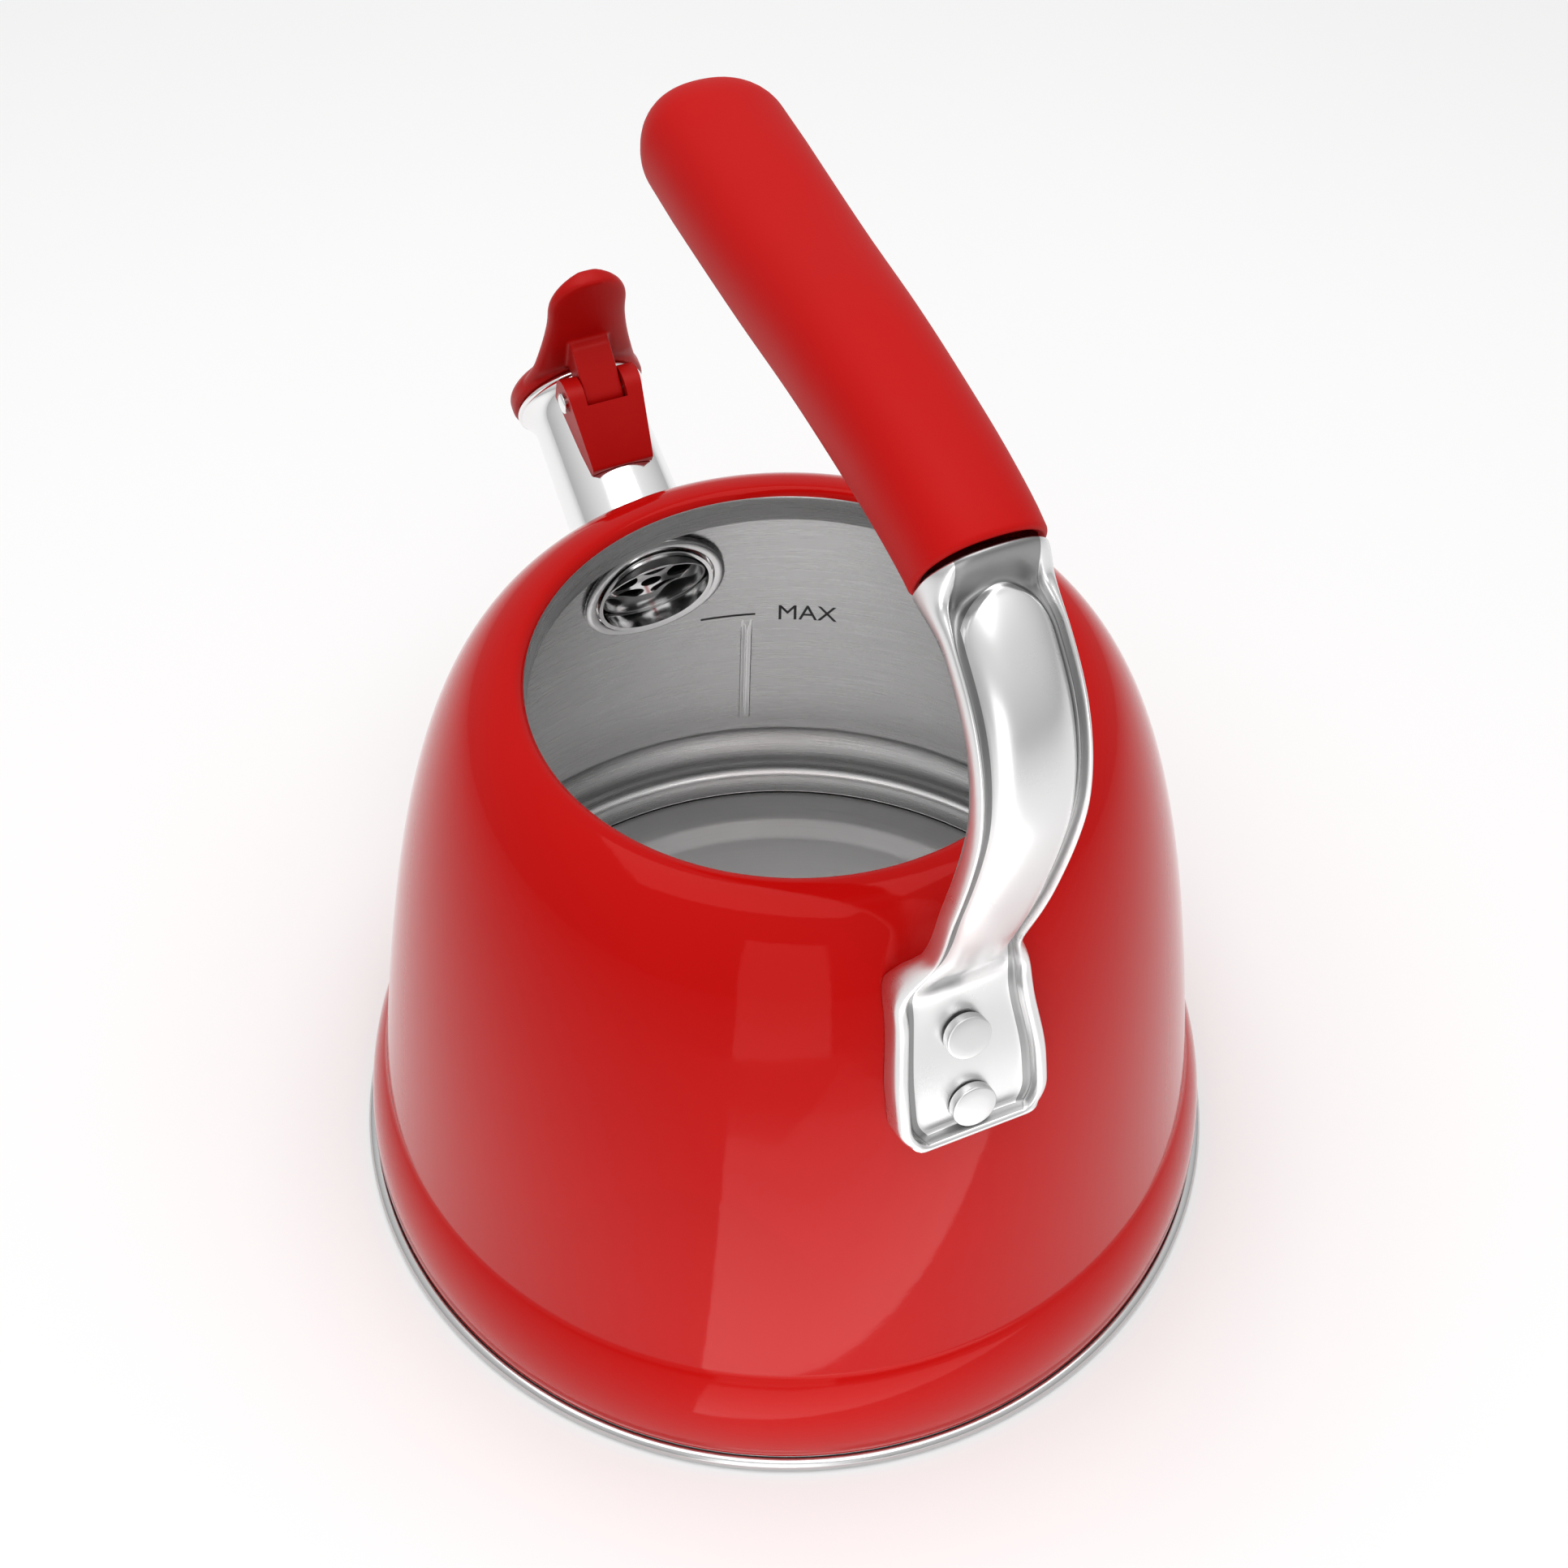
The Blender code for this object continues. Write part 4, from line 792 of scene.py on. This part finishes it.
spring = bmesh.new()
loop = bmesh.ops.create_circle(spring, cap_ends=True, segments=12, radius=wire_radius)["verts"]
bmesh.ops.translate(spring, verts=loop, vec=(-coil_radius, -coil_pitch * coil_turns / 2, -short_leg))
coil_end = bmesh.ops.spin(
    spring,
    geom=push_out(spring, spring.faces[:], short_leg),
    axis=(0, 1, 0),
    cent=(0, 0, 0),
    dvec=(0, coil_pitch / coil_steps, 0),
    angle=math.tau * coil_turns,
    steps=coil_steps * coil_turns,
)["geom_last"]
push_out(spring, [item for item in coil_end if isinstance(item, bmesh.types.BMFace)], leg)
set_in_place(spring, hinge_place)
add_piece("cap_spring", spring, [polished_steel], ["torsion_spring"])

head_radius = 0.003
head_height = 0.001
inside_radius = tube_radius(rivet_place) - tube_sheet
head_top = math.sqrt(inside_radius**2 - head_radius**2) - 0.0003
shank_radius = 0.0016
shank_top = tube_radius(rivet_place) + 0.0022
saddle_rivet = rounded(
    [
        (0, head_top - head_height),
        (head_radius * 0.8, head_top - head_height),
        (head_radius, head_top - head_height * 0.5),
        (head_radius, head_top),
        (shank_radius, head_top),
        (shank_radius, shank_top),
        (0, shank_top),
    ],
    0.0002,
)
out_of_tube = spout_place @ Matrix.Translation((0, 0, rivet_place)) @ Matrix.Rotation(math.pi / 2, 4, "Y")
saddle_rivet = set_in_place(turn(bmesh.new(), saddle_rivet, 0, 40), out_of_tube)
add_piece("saddle_rivet", saddle_rivet, [polished_steel], ["clip_rivet"])

# ---- whistle cap
# The cap is one red moulding: a bell over the spout's lip that narrows into a thumb lever, and a tongue
# that turns on the pin. A steel whistle of two drilled plates is pressed into its underside.

cap_seat = tube_length + 0.0011
cap_radius = 0.0172
cap_dome = 0.0085
lever_tip = 0.0462
lever_half_width = 0.0098
lever_thickness = 0.0042
lever_lean = 0.17
lever_waist = lip_radius + 0.0169
lever_root = 0.0055
lever_spread = 0.0061
tongue_half_width = saddle_slot - 0.0003


def loft(sections):
    """Lay a grid through equal closed sections of points, and close both ends."""
    count = len(sections[0])
    bm = bmesh.new()
    bmesh.ops.create_grid(bm, x_segments=count, y_segments=len(sections) - 1, size=1)
    bm.verts.ensure_lookup_table()
    for index, corner in enumerate(bm.verts):
        row, column = divmod(index, count + 1)
        corner.co = sections[row][column % count]
    bmesh.ops.remove_doubles(bm, verts=bm.verts[:], dist=1e-7)
    bmesh.ops.holes_fill(bm, edges=[edge for edge in bm.edges if edge.is_boundary])
    return bm


def squircle(half_width, half_height, power, count):
    """A round-cornered section of (side, out) points."""
    points = []
    for index in range(count):
        angle = math.tau * index / count
        x, y = math.cos(angle), math.sin(angle)
        size = (abs(x) ** power + abs(y) ** power) ** (-1 / power)
        points.append((half_width * x * size, half_height * y * size))
    return points


def lever_sections():
    """Sections of the lever from inside the bell up to its round tip, in the tube's frame."""
    base = lever_root
    round_at = lever_tip - lever_half_width
    heights = [base + (round_at - base) * step / 24 for step in range(25)]
    heights += [round_at + lever_half_width * math.sin(math.radians(a)) for a in range(6, 90, 6)]
    sections = []
    for height in heights:
        half = lever_half_width
        if height < lever_waist:
            half += lever_spread * ((lever_waist - height) / (lever_waist - base)) ** 1.5
        if height > round_at:
            half *= math.sqrt(1 - ((height - round_at) / lever_half_width) ** 2)
        back = cap_seat + 0.0003 + lever_lean * max(0, height - lip_radius)
        middle = back + lever_thickness / 2
        thick = min(lever_thickness, half * 1.4)
        sections.append([(height, y, middle + z) for y, z in squircle(half, thick / 2, 3.2, 40)])
    return sections


top = cap_seat + cap_dome
bell_line = [(0, cap_seat), (cap_radius - 0.0007, cap_seat), (cap_radius, cap_seat + 0.0007)]
bell_side = ((cap_radius, cap_seat + 0.003), (cap_radius, cap_seat + 0.75 * cap_dome))
bell_line += bezier((*bell_side, (cap_radius * 0.55, top), (0, top)), 20)
over_lip = lip_radius + 0.0006
tongue_outline = arc((pin_height, pin_place), knuckle_radius, -20, -200, 20)
tongue_outline += [
    (over_lip, tube_length - 0.003),
    (over_lip, cap_seat + 0.002),
    (pin_height + 0.0078, cap_seat + 0.003),
    (pin_height + 0.0078, cap_seat - 0.0005),
]
moulding = turn(bmesh.new(), bell_line, 0, 96)
for part in (loft(lever_sections()), slab(tongue_outline, -tongue_half_width, tongue_half_width)):
    bmesh.ops.recalc_face_normals(part, faces=part.faces[:])
    part_mesh = bpy.data.meshes.new("part")
    part.to_mesh(part_mesh)
    part.free()
    moulding.from_mesh(part_mesh)
set_in_place(moulding, spout_place)
whistle_cap = add_piece("whistle_cap", moulding, [cap_plastic], ["spout_cap"], body="cap")
merge = whistle_cap.modifiers.new("One moulding", "REMESH")
merge.mode = "VOXEL"
merge.voxel_size = 0.00036
merge.use_smooth_shade = True
soften = whistle_cap.modifiers.new("Soft blends", "SMOOTH")
soften.factor = 0.5
soften.iterations = 9
settle(whistle_cap)

whistle_radius = 0.0106
whistle_seat = 0.0026
steam_hole = 0.003
spring_room = coil_radius + wire_radius + 0.0004
pocket = tongue_half_width - 0.0022
pin_axis = hinge_place @ Matrix.Rotation(math.pi / 2, 4, "X")
whistle_room = drill(whistle_radius + 0.0003, cap_seat - 0.004, cap_seat + whistle_seat, spout_place, 72)
cut(whistle_cap, whistle_room, 40)
cut(whistle_cap, drill(steam_hole, cap_seat, top + 0.009, spout_place), 40)
cut(whistle_cap, drill(spring_room, -pocket, pocket, pin_axis), 40)
leg_reach = leg + 0.001
leg_outline = [(-0.0076, -leg_reach), (-0.0004, -leg_reach), (-0.0004, leg_reach), (-0.0076, leg_reach)]
cut(whistle_cap, set_in_place(slab(leg_outline, -pocket + 0.0001, pocket - 0.0001), hinge_place), 40)
cut(whistle_cap, cross_drill(pin_radius + pin_play), 40)

whistle_sheet = 0.0006
whistle_depth = 0.0051
whistle_hole = 0.0018
whistle_back = cap_seat + whistle_seat - 0.0003
whistle_steel = make_polished_steel("whistle_steel", 0.72, 0.20, 0.32)
cup_line = rounded(
    [
        (whistle_hole, whistle_back),
        (whistle_hole, whistle_back - whistle_sheet),
        (whistle_radius - whistle_sheet, whistle_back - whistle_sheet),
        (whistle_radius - whistle_sheet, whistle_back - whistle_depth),
        (whistle_radius, whistle_back - whistle_depth),
        (whistle_radius, whistle_back),
        (whistle_hole, whistle_back),
    ],
    0.0003,
)
disc_edge = whistle_radius - whistle_sheet - 0.0003
disc_seat = whistle_back - whistle_sheet
disc_line = rounded(
    [
        (whistle_hole, disc_seat - 0.0015),
        (whistle_hole, disc_seat - 0.0015 - whistle_sheet),
        (disc_edge, disc_seat - 0.0015 - whistle_sheet),
        (disc_edge, disc_seat - 0.0003),
        (disc_edge - whistle_sheet, disc_seat - 0.0003),
        (disc_edge - whistle_sheet, disc_seat - 0.0015),
        (whistle_hole, disc_seat - 0.0015),
    ],
    0.0003,
)
whistle_plates = (("whistle_outer", cup_line, "whistle_cup"), ("whistle_inner", disc_line, "whistle_disc"))
for name, line, cad in whistle_plates:
    plate = set_in_place(turn(bmesh.new(), line, 0, 64), spout_place)
    add_piece(name, plate, [whistle_steel], [cad], body="cap")

# ---- handle bracket
# The bracket is pressed from one strip of polished steel. A flat tray with a standing rim is riveted on
# the wall. Above it the arm bows out and up, with a raised crown between two grooves and thin rims. The
# crown ends in a dome, and behind it the strip widens and climbs in a ramp to the grip's edge.

plate_low = 0.1015
plate_high = 0.1305
plate_half = 0.0168
plate_round = 0.0085
plate_back = 0.009
tray_level = -0.0006
neck_half = 0.0096
arm_half = 0.0106
mouth_half = 0.0114
crown_height = 0.0040
rim_stand = 0.0024
rim_width = 0.0012
plate_rim_width = 0.0029
rim_flare = 0.0036
groove_width = 0.0012
arm_back = 0.0022
arm_reach = 0.0918
handle_level = 0.246
grip_rear = 0.0685
grip_front = 0.0515
grip_power = 2.3
arm_top = 0.22


def handle_points():
    """The handle's middle line in the XZ plane, from the plate's bottom edge to the grip's front end."""
    points = []
    for height in (plate_low, (plate_low + plate_high) / 2, plate_high):
        radius = wall_radius(height)
        slope = Vector((0.002, wall_radius(height - 0.001) - wall_radius(height + 0.001))).normalized()
        points.append((radius + slope.x * rim_stand, height + slope.y * rim_stand))
    rise = handle_level - plate_high
    foot = points[-1][0]
    reach = arm_reach - foot
    points += [
        (foot - 0.0018, plate_high + 0.10 * rise),
        (foot + 0.42 * reach, plate_high + 0.30 * rise),
        (foot + 0.90 * reach, plate_high + 0.51 * rise),
        (arm_reach, plate_high + 0.64 * rise),
        (arm_reach - 0.0038, plate_high + 0.755 * rise),
        (arm_reach - 0.0125, plate_high + 0.845 * rise),
        (grip_rear, handle_level - 0.0105),
        (grip_rear - 0.012, handle_level - 0.0067),
        (grip_rear - 0.027, handle_level - 0.0040),
        (0.022, handle_level - 0.0015),
        (0, handle_level),
        (-0.45 * grip_front, handle_level + 0.0023),
        (-grip_front, handle_level + 0.0055),
    ]
    return points


def smooth_line(points, steps):
    """A smooth line through the points, as Catmull and Rom define it."""
    ends = [points[0]] + points + [points[-1]]
    line = []
    for four in zip(ends, ends[1:], ends[2:], ends[3:]):
        for step in range(steps):
            t = step / steps
            weights = (-t + 2 * t**2 - t**3, 2 - 5 * t**2 + 3 * t**3, t + 4 * t**2 - 3 * t**3, t**3 - t**2)
            line.append(Vector([sum(w * p[axis] for w, p in zip(weights, four)) / 2 for axis in (0, 1)]))
    return line + [Vector(points[-1])]


handle_line = smooth_line(handle_points(), 12)
handle_at = [0.0]
for start, end in zip(handle_line, handle_line[1:]):
    handle_at.append(handle_at[-1] + (end - start).length)


def handle_point(distance):
    """The point of the middle line at a distance from the plate's bottom edge."""
    distance = min(max(distance, 0), handle_at[-1])
    for index, place in enumerate(handle_at[1:]):
        if place >= distance:
            share = (distance - handle_at[index]) / (place - handle_at[index])
            return handle_line[index].lerp(handle_line[index + 1], share)


def handle_frame(distance):
    """The point at a distance, and the direction that faces out of the handle's bend."""
    ahead = (handle_point(distance + 0.002) - handle_point(distance - 0.002)).normalized()
    return handle_point(distance), Vector((ahead.y, -ahead.x))


def handle_distance(test):
    """The distance of the first point of the middle line that passes a test."""
    return next(place for place, point in zip(handle_at, handle_line) if test(point))


def on_handle(distance, section):
    """Place a section of (side, out) points on the middle line."""
    centre, out = handle_frame(distance)
    return [(centre.x + out.x * h, side, centre.y + out.y * h) for side, h in section]


def blend(value, stops):
    """Read a smooth change of size from (place, size) stops."""
    if value <= stops[0][0]:
        return stops[0][1]
    for (start, low_size), (end, high_size) in zip(stops, stops[1:]):
        if value <= end:
            share = (value - start) / (end - start)
            return low_size + (high_size - low_size) * share * share * (3 - 2 * share)
    return stops[-1][1]


grip_mouth = handle_distance(lambda point: point.x <= grip_rear and point.y > arm_top)
plate_end = handle_distance(lambda point: point.y >= plate_high)
neck_at = plate_end + 0.0235
arm_from = plate_end + 0.0215
plate_low_end = 0.014
half_stops = [
    (plate_low_end, plate_half - 0.0002),
    (plate_end + 0.004, plate_half - 0.0020),
    (neck_at, neck_half),
    (neck_at + 0.02, arm_half),
    (grip_mouth - 0.012, arm_half),
    (grip_mouth, mouth_half),
]
crown_stops = [(plate_end, tray_level), (arm_from, crown_height)]
back_stops = [
    (plate_end - 0.004, -plate_back),
    (arm_from, -arm_back),
    (grip_mouth - 0.014, -arm_back),
    (grip_mouth, -0.0048),
]
fall_stops = [(plate_end, 0.2), (arm_from, 0.6)]
rim_stops = [
    (plate_end, plate_rim_width),
    (neck_at, rim_width),
    (grip_mouth - 0.013, rim_width),
    (grip_mouth - 0.001, rim_flare),
]
crown_shares = (0, 0.2, 0.4, 0.58, 0.73, 0.85, 0.94)
arch_depth = 0.009
arch_stops = [(grip_mouth - 0.026, 0.0), (grip_mouth - 0.0064, 1.0), (grip_mouth - 0.0006, 0.0)]
ramp_stops = [(grip_mouth - 0.0062, 0.0), (grip_mouth - 0.0012, 1.0)]
ramp_height = 0.0102


def crown_left(row_place):
    """How much of the crown is left where it ends in a dome before the grip."""
    return blend(row_place, [(grip_mouth - 0.0058, 1.0), (grip_mouth - 0.0032, -0.1)])


def bracket_section(distance, row_place):
    """The pressed strip's section: a crown or a tray between two grooves, with a rim along each edge."""
    half = blend(distance, half_stops)
    if distance < plate_round:
        half = plate_half - plate_round * (1 - math.sqrt(1 - (1 - distance / plate_round) ** 2))
    rim_across = blend(distance, rim_stops)
    raised = blend(distance, crown_stops)
    back = blend(distance, back_stops)
    crown_edge = half - rim_across - groove_width
    side = []
    for share in crown_shares:
        fall = (1 - share**2.6) ** blend(distance, fall_stops)
        side.append((crown_edge * share, raised * fall * crown_left(row_place)))
    ramp = blend(distance, ramp_stops)
    side += [
        (crown_edge + groove_width * 0.15, 0.0),
        (crown_edge + groove_width * 0.80, 0.0),
        (half - rim_across, rim_stand * 0.75),
        (half - rim_across * 0.72, rim_stand),
        (half - rim_across * 0.34, rim_stand * 0.94),
        (half - rim_across * 0.08, rim_stand * 0.60),
        (half, rim_stand * 0.1),
    ]
    dips = [1 - min(1, abs(y) / half) ** grip_power for y, h in side]
    tops = [ramp_height * dip ** (1 / grip_power) for dip in dips]
    side = [(y, h + ramp * max(0, top - h)) for (y, h), top in zip(side, tops)]
    side += [
        (half, back + 0.0006),
        (half * 0.95, back),
        (half * 0.5, back),
    ]
    return side + [(-y, h) for y, h in side[:0:-1]]


def bracket_row(row_place):
    """The points of one row. Rows bend into arches round the dome in which the crown ends."""
    straight = bracket_section(row_place, row_place)
    row = []
    for column in range(len(straight)):
        from_middle = min(column, len(straight) - column)
        share = crown_shares[from_middle] if from_middle < len(crown_shares) else 1.0
        back_off = arch_depth * (1 - math.sqrt(1 - share * share)) * blend(row_place, arch_stops)
        distance = row_place - back_off
        row += on_handle(distance, [bracket_section(distance, row_place)[column]])
    return row


hem_rows = {0: 0.35, 0.03: 0.7, 0.08: 0.92, 0.16: 1.0, 0.24: 0.95}
stations = [plate_round * share for share in (*hem_rows, 0.32, 0.42, 0.56, 0.76)]
recess = grip_mouth - 0.014
stations += [plate_round + (recess - plate_round) * step / 84 for step in range(84)]
stations += [recess + (grip_mouth - 0.0006 - recess) * step / 30 for step in range(31)]
strip = []
for station in stations:
    lift = hem_rows.get(round(station / plate_round, 2))
    if lift is not None:
        section = bracket_section(station, station)
        hem = [(y, h if h < tray_level * 2 else rim_stand * lift) for y, h in section]
        strip.append(on_handle(station, hem))
    else:
        strip.append(bracket_row(station))
narrow = [(y * 0.86, h - 0.0014) for y, h in squircle(mouth_half, 0.0038, 4, len(strip[0]))]
quarter = len(narrow) // 4
narrow = [narrow[(quarter - index) % len(narrow)] for index in range(len(narrow))]
strip.append(on_handle(grip_mouth + 0.0002, narrow))
strip.append(on_handle(grip_mouth + 0.0030, narrow))
pressing = loft(strip)
columns = len(strip[0])
# The faces in the two grooves, in the groove along the plate's foot and in the recess behind the crown's
# dome take the second finish. That finish is painted shade: a dark steel that stands in for the shadow
# these hollows hold.
groove_columns = (6, 7, columns - 8, columns - 7)
pressing.faces.ensure_lookup_table()
for index, face in enumerate(pressing.faces):
    row, column = divmod(index, columns)
    from_middle = min(column, columns - 1 - column)
    foot_groove = row == len(hem_rows) - 1 and from_middle < 8
    deep = row < len(stations) and from_middle < 8 and crown_left(stations[row]) < 0.6
    if len(hem_rows) <= row < len(stations) and column in groove_columns or foot_groove or deep:
        face.material_index = 1
satin_steel = make_polished_steel("satin_steel", 0.80, 0.27, 0.34, 0.02)
# The second finish is painted shade: a dark steel for the grooves and the recess, not a different metal.
painted_groove_shade = make_polished_steel("painted_groove_shade", 0.30, 0.30, 0.42, 0.02)
strip_finishes = [satin_steel, painted_groove_shade]
strip_node = ["handle_bracket"]
bracket = add_piece("handle_strip", pressing, strip_finishes, strip_node, sharp=80)
smoother = bracket.modifiers.new("Smooth pressing", "SUBSURF")
smoother.levels = 1
smoother.render_levels = 1
settle(bracket)
body_solid = offset_line(foot_line(16) + wall_line(44), -0.0003)
body_solid = [(0, body_solid[0][1])] + body_solid + [(0, body_solid[-1][1])]
cut(bracket, turn(bmesh.new(), body_solid), 60)

# ---- rivets
# Two plain steel rivets hold the bracket. Each has a flat head on the tray, a shank through the strip
# and the wall, and an inner end that is clenched flat against the inside of the body.

rivet_heights = {"handle_rivet_low": 0.1087, "handle_rivet_high": 0.1249}
rivet_head = 0.0048
rivet_stand = 0.0024
rivet_shank = 0.0025
inner_head = 0.004
rivet_steel = make_polished_steel("rivet_steel", 0.74, 0.30, 0.40, 0.04)


def rivet_frame(height):
    """A frame on the wall on the handle's side, with Z straight out of the wall."""
    slope = Vector((0.002, wall_radius(height - 0.001) - wall_radius(height + 0.001)))
    lean = math.atan2(slope.x, slope.y)
    return Matrix.Translation((wall_radius(height), 0, height)) @ Matrix.Rotation(lean, 4, "Y")


for name, height in rivet_heights.items():
    place = rivet_frame(height)
    tray = rim_stand + tray_level + 0.0003
    inner = -sheet - 0.0006
    rivet_line = [(0, tray + rivet_stand), (rivet_head * 0.6, tray + rivet_stand - 0.00006)]
    rivet_line += [(rivet_head, tray + rivet_stand - 0.0002), (rivet_head, tray), (rivet_shank, tray)]
    rivet_line += [(rivet_shank, inner), (inner_head, inner)]
    rivet_line += [(inner_head * 0.8, inner - 0.0012), (0, inner - 0.0012)]
    turned_rivet = set_in_place(turn(bmesh.new(), rounded(rivet_line, 0.0004), 0, 56), place)
    add_piece(name + "_turned", turned_rivet, [rivet_steel], [name])
    for target in (bracket, enamelled_body):
        cut(target, drill(rivet_shank + 0.0003, -0.009, 0.009, place), 60 if target is bracket else 35)

# ---- grip
# The grip is a moulded sleeve with a soft red coating, pushed over the strip's end and held by one screw
# from below. It swells towards the front and ends in a full round.

grip_rear_half = 0.0117
grip_front_half = 0.0142
grip_half_height = 0.0114
grip_edge = 0.0009
socket_depth = 0.004
soft_coating = make_red_plastic(
    "soft_coating", (0.40, 0.0022, 0.0020), (0.46, 0.0032, 0.0028), 0.50, 0.62, 3200.0, 0.00008, 0.25
)


def grip_section(share, shrink=0.0):
    """The grip's section at a share of its length, made smaller all round by a distance."""
    width = grip_rear_half + (grip_front_half - grip_rear_half) * min(1, share * 1.25) - shrink
    return squircle(width, grip_half_height - shrink, grip_power, 64)


grip_length = handle_at[-1] - grip_mouth
grip_tip = grip_front_half * 0.95
socket = squircle(0.0101, 0.0056, 4, 64)
grip_rings = [on_handle(grip_mouth + socket_depth, socket), on_handle(grip_mouth + 0.0012, socket)]
grip_rings.append(on_handle(grip_mouth + 0.0004, grip_section(0, 0.0017)))
for angle in range(0, 91, 15):
    place = grip_mouth + grip_edge - grip_edge * math.cos(math.radians(angle))
    shrink = grip_edge * (1 - math.cos(math.radians(90 - angle)))
    grip_rings.append(on_handle(place, grip_section(0, shrink)))
shares = [0.01 + (1 - grip_tip / grip_length - 0.01) * step / 40 for step in range(1, 41)]
grip_rings += [on_handle(grip_mouth + grip_length * share, grip_section(share)) for share in shares]
for angle in list(range(6, 84, 6)) + [83, 86.5]:
    place = grip_length - grip_tip * (1 - math.sin(math.radians(angle)))
    scale = math.cos(math.radians(angle))
    section = [(y * scale, h * scale) for y, h in grip_section(1)]
    grip_rings.append(on_handle(grip_mouth + place, section))
grip = add_piece("soft_grip", loft(grip_rings), [soft_coating], ["handle_grip"], sharp=60)

screw_x = 0.030
screw_head = 0.0038
screw_sunk = 0.0028
screw_at = handle_distance(lambda point: point.y > arm_top and point.x <= screw_x)
centre, out = handle_frame(screw_at)
up_through_grip = Matrix.Rotation(math.atan2(out.x, out.y), 4, "Y")
screw_place = Matrix.Translation((centre.x, 0, centre.y)) @ up_through_grip
recess_top = -grip_half_height + screw_sunk
cut(grip, drill(screw_head + 0.0003, -2 * grip_half_height, recess_top, screw_place), 60)
screw_line = rounded(
    [
        (0, recess_top - 0.0003),
        (screw_head, recess_top - 0.0003),
        (screw_head, recess_top - 0.0014),
        (screw_head * 0.75, recess_top - 0.0021),
        (0, recess_top - 0.0021),
    ],
    0.0004,
)
screw = set_in_place(turn(bmesh.new(), screw_line, 0, 48), screw_place)
screw_piece = add_piece("grip_screw_turned", screw, [rivet_steel], ["grip_screw"])
for quarter_turn in (0, math.pi / 2):
    slot_tool = bmesh.new()
    bmesh.ops.create_cube(slot_tool, size=1)
    bmesh.ops.scale(slot_tool, verts=slot_tool.verts[:], vec=(0.0046, 0.0008, 0.0018))
    slot_place = Matrix.Translation((0, 0, recess_top - 0.0022)) @ Matrix.Rotation(quarter_turn, 4, "Z")
    cut(screw_piece, set_in_place(slot_tool, screw_place @ slot_place), 40)

# ---- studio
# A matte pale floor in an even white room that grows brighter upward. One large soft lamp hangs above
# the kettle and two panels stand before it. The camera looks down on the handle's side.

floor_finish, floor_tree, floor_shader, floor_coordinates = new_finish("pale_floor")
floor_cloud = noise(floor_tree, floor_coordinates, 3.0, 3.0)
floor_colour = two_colours(floor_tree, floor_cloud, (0.88,) * 3, (0.90,) * 3)
floor_tree.links.new(floor_colour, floor_shader.inputs["Base Color"])
floor_shader.inputs["Roughness"].default_value = 0.9
floor_shader.inputs["Specular IOR Level"].default_value = 0.0
floor_bm = bmesh.new()
bmesh.ops.create_circle(floor_bm, cap_ends=True, segments=96, radius=6)
floor_mesh = bpy.data.meshes.new("floor")
floor_bm.to_mesh(floor_mesh)
floor_bm.free()
floor_mesh.materials.append(floor_finish)
put_in_scene("floor", floor_mesh)

room = bpy.data.worlds.new("room")
room.use_nodes = True
bpy.context.scene.world = room
room_tree = room.node_tree
direction = room_tree.nodes.new("ShaderNodeTexCoord").outputs["Generated"]
upward = node(room_tree, "SeparateXYZ", {"Vector": direction}).outputs["Z"]
room_background = room_tree.nodes["Background"]
room_background.inputs["Color"].default_value = (1, 1, 1, 1)
room_tree.links.new(spread(room_tree, upward, 0.0, 0.9, 0.46, 0.88), room_background.inputs["Strength"])


def soft_lamp(name, place, aim, width, height, radiance):
    """A rectangular soft lamp that faces a point, set by the brightness of its surface."""
    lamp = bpy.data.lights.new(name, "AREA")
    lamp.shape = "RECTANGLE"
    lamp.size = width
    lamp.size_y = height
    lamp.energy = radiance * math.pi * width * height
    holder = put_in_scene(name, lamp)
    holder.location = place
    holder.rotation_euler = (Vector(aim) - Vector(place)).to_track_quat("-Z", "Y").to_euler()
    holder.visible_camera = False
    return holder


soft_lamp("overhead", (0.05, -0.05, 1.1), (0, 0, 0.1), 0.9, 0.9, 2.2)
panel_edge = math.radians(-37)
panel_width = 0.20
panel_near, panel_far = 0.125, 0.48
along = Vector((math.cos(panel_edge), math.sin(panel_edge), 0))
across = Vector((-along.y, along.x, 0))
panel_height = 0.4
panel_radiance = 1.6
lying = along * ((panel_near + panel_far) / 2) + across * (panel_width / 2)
low_panel = soft_lamp("low_panel", lying, (0, 0, 1), panel_width, panel_far - panel_near, panel_radiance)
low_panel.rotation_euler = (math.pi, 0, panel_edge + math.pi / 2)
standing = along * panel_far + across * (panel_width / 2) + Vector((0, 0, panel_height / 2))
soft_lamp("upright_panel", standing, standing - along, panel_width, panel_height, panel_radiance)

bpy.context.scene.view_settings.view_transform = "Standard"
camera = bpy.data.cameras.new("camera")
camera.sensor_width = 36
camera.lens = 48.34
camera_holder = put_in_scene("camera", camera)
camera_holder.location = (0.2826, -0.1318, 0.4580)
camera_holder.rotation_euler = [math.radians(angle) for angle in (42.217, -0.670, 66.025)]
bpy.context.scene.camera = camera_holder
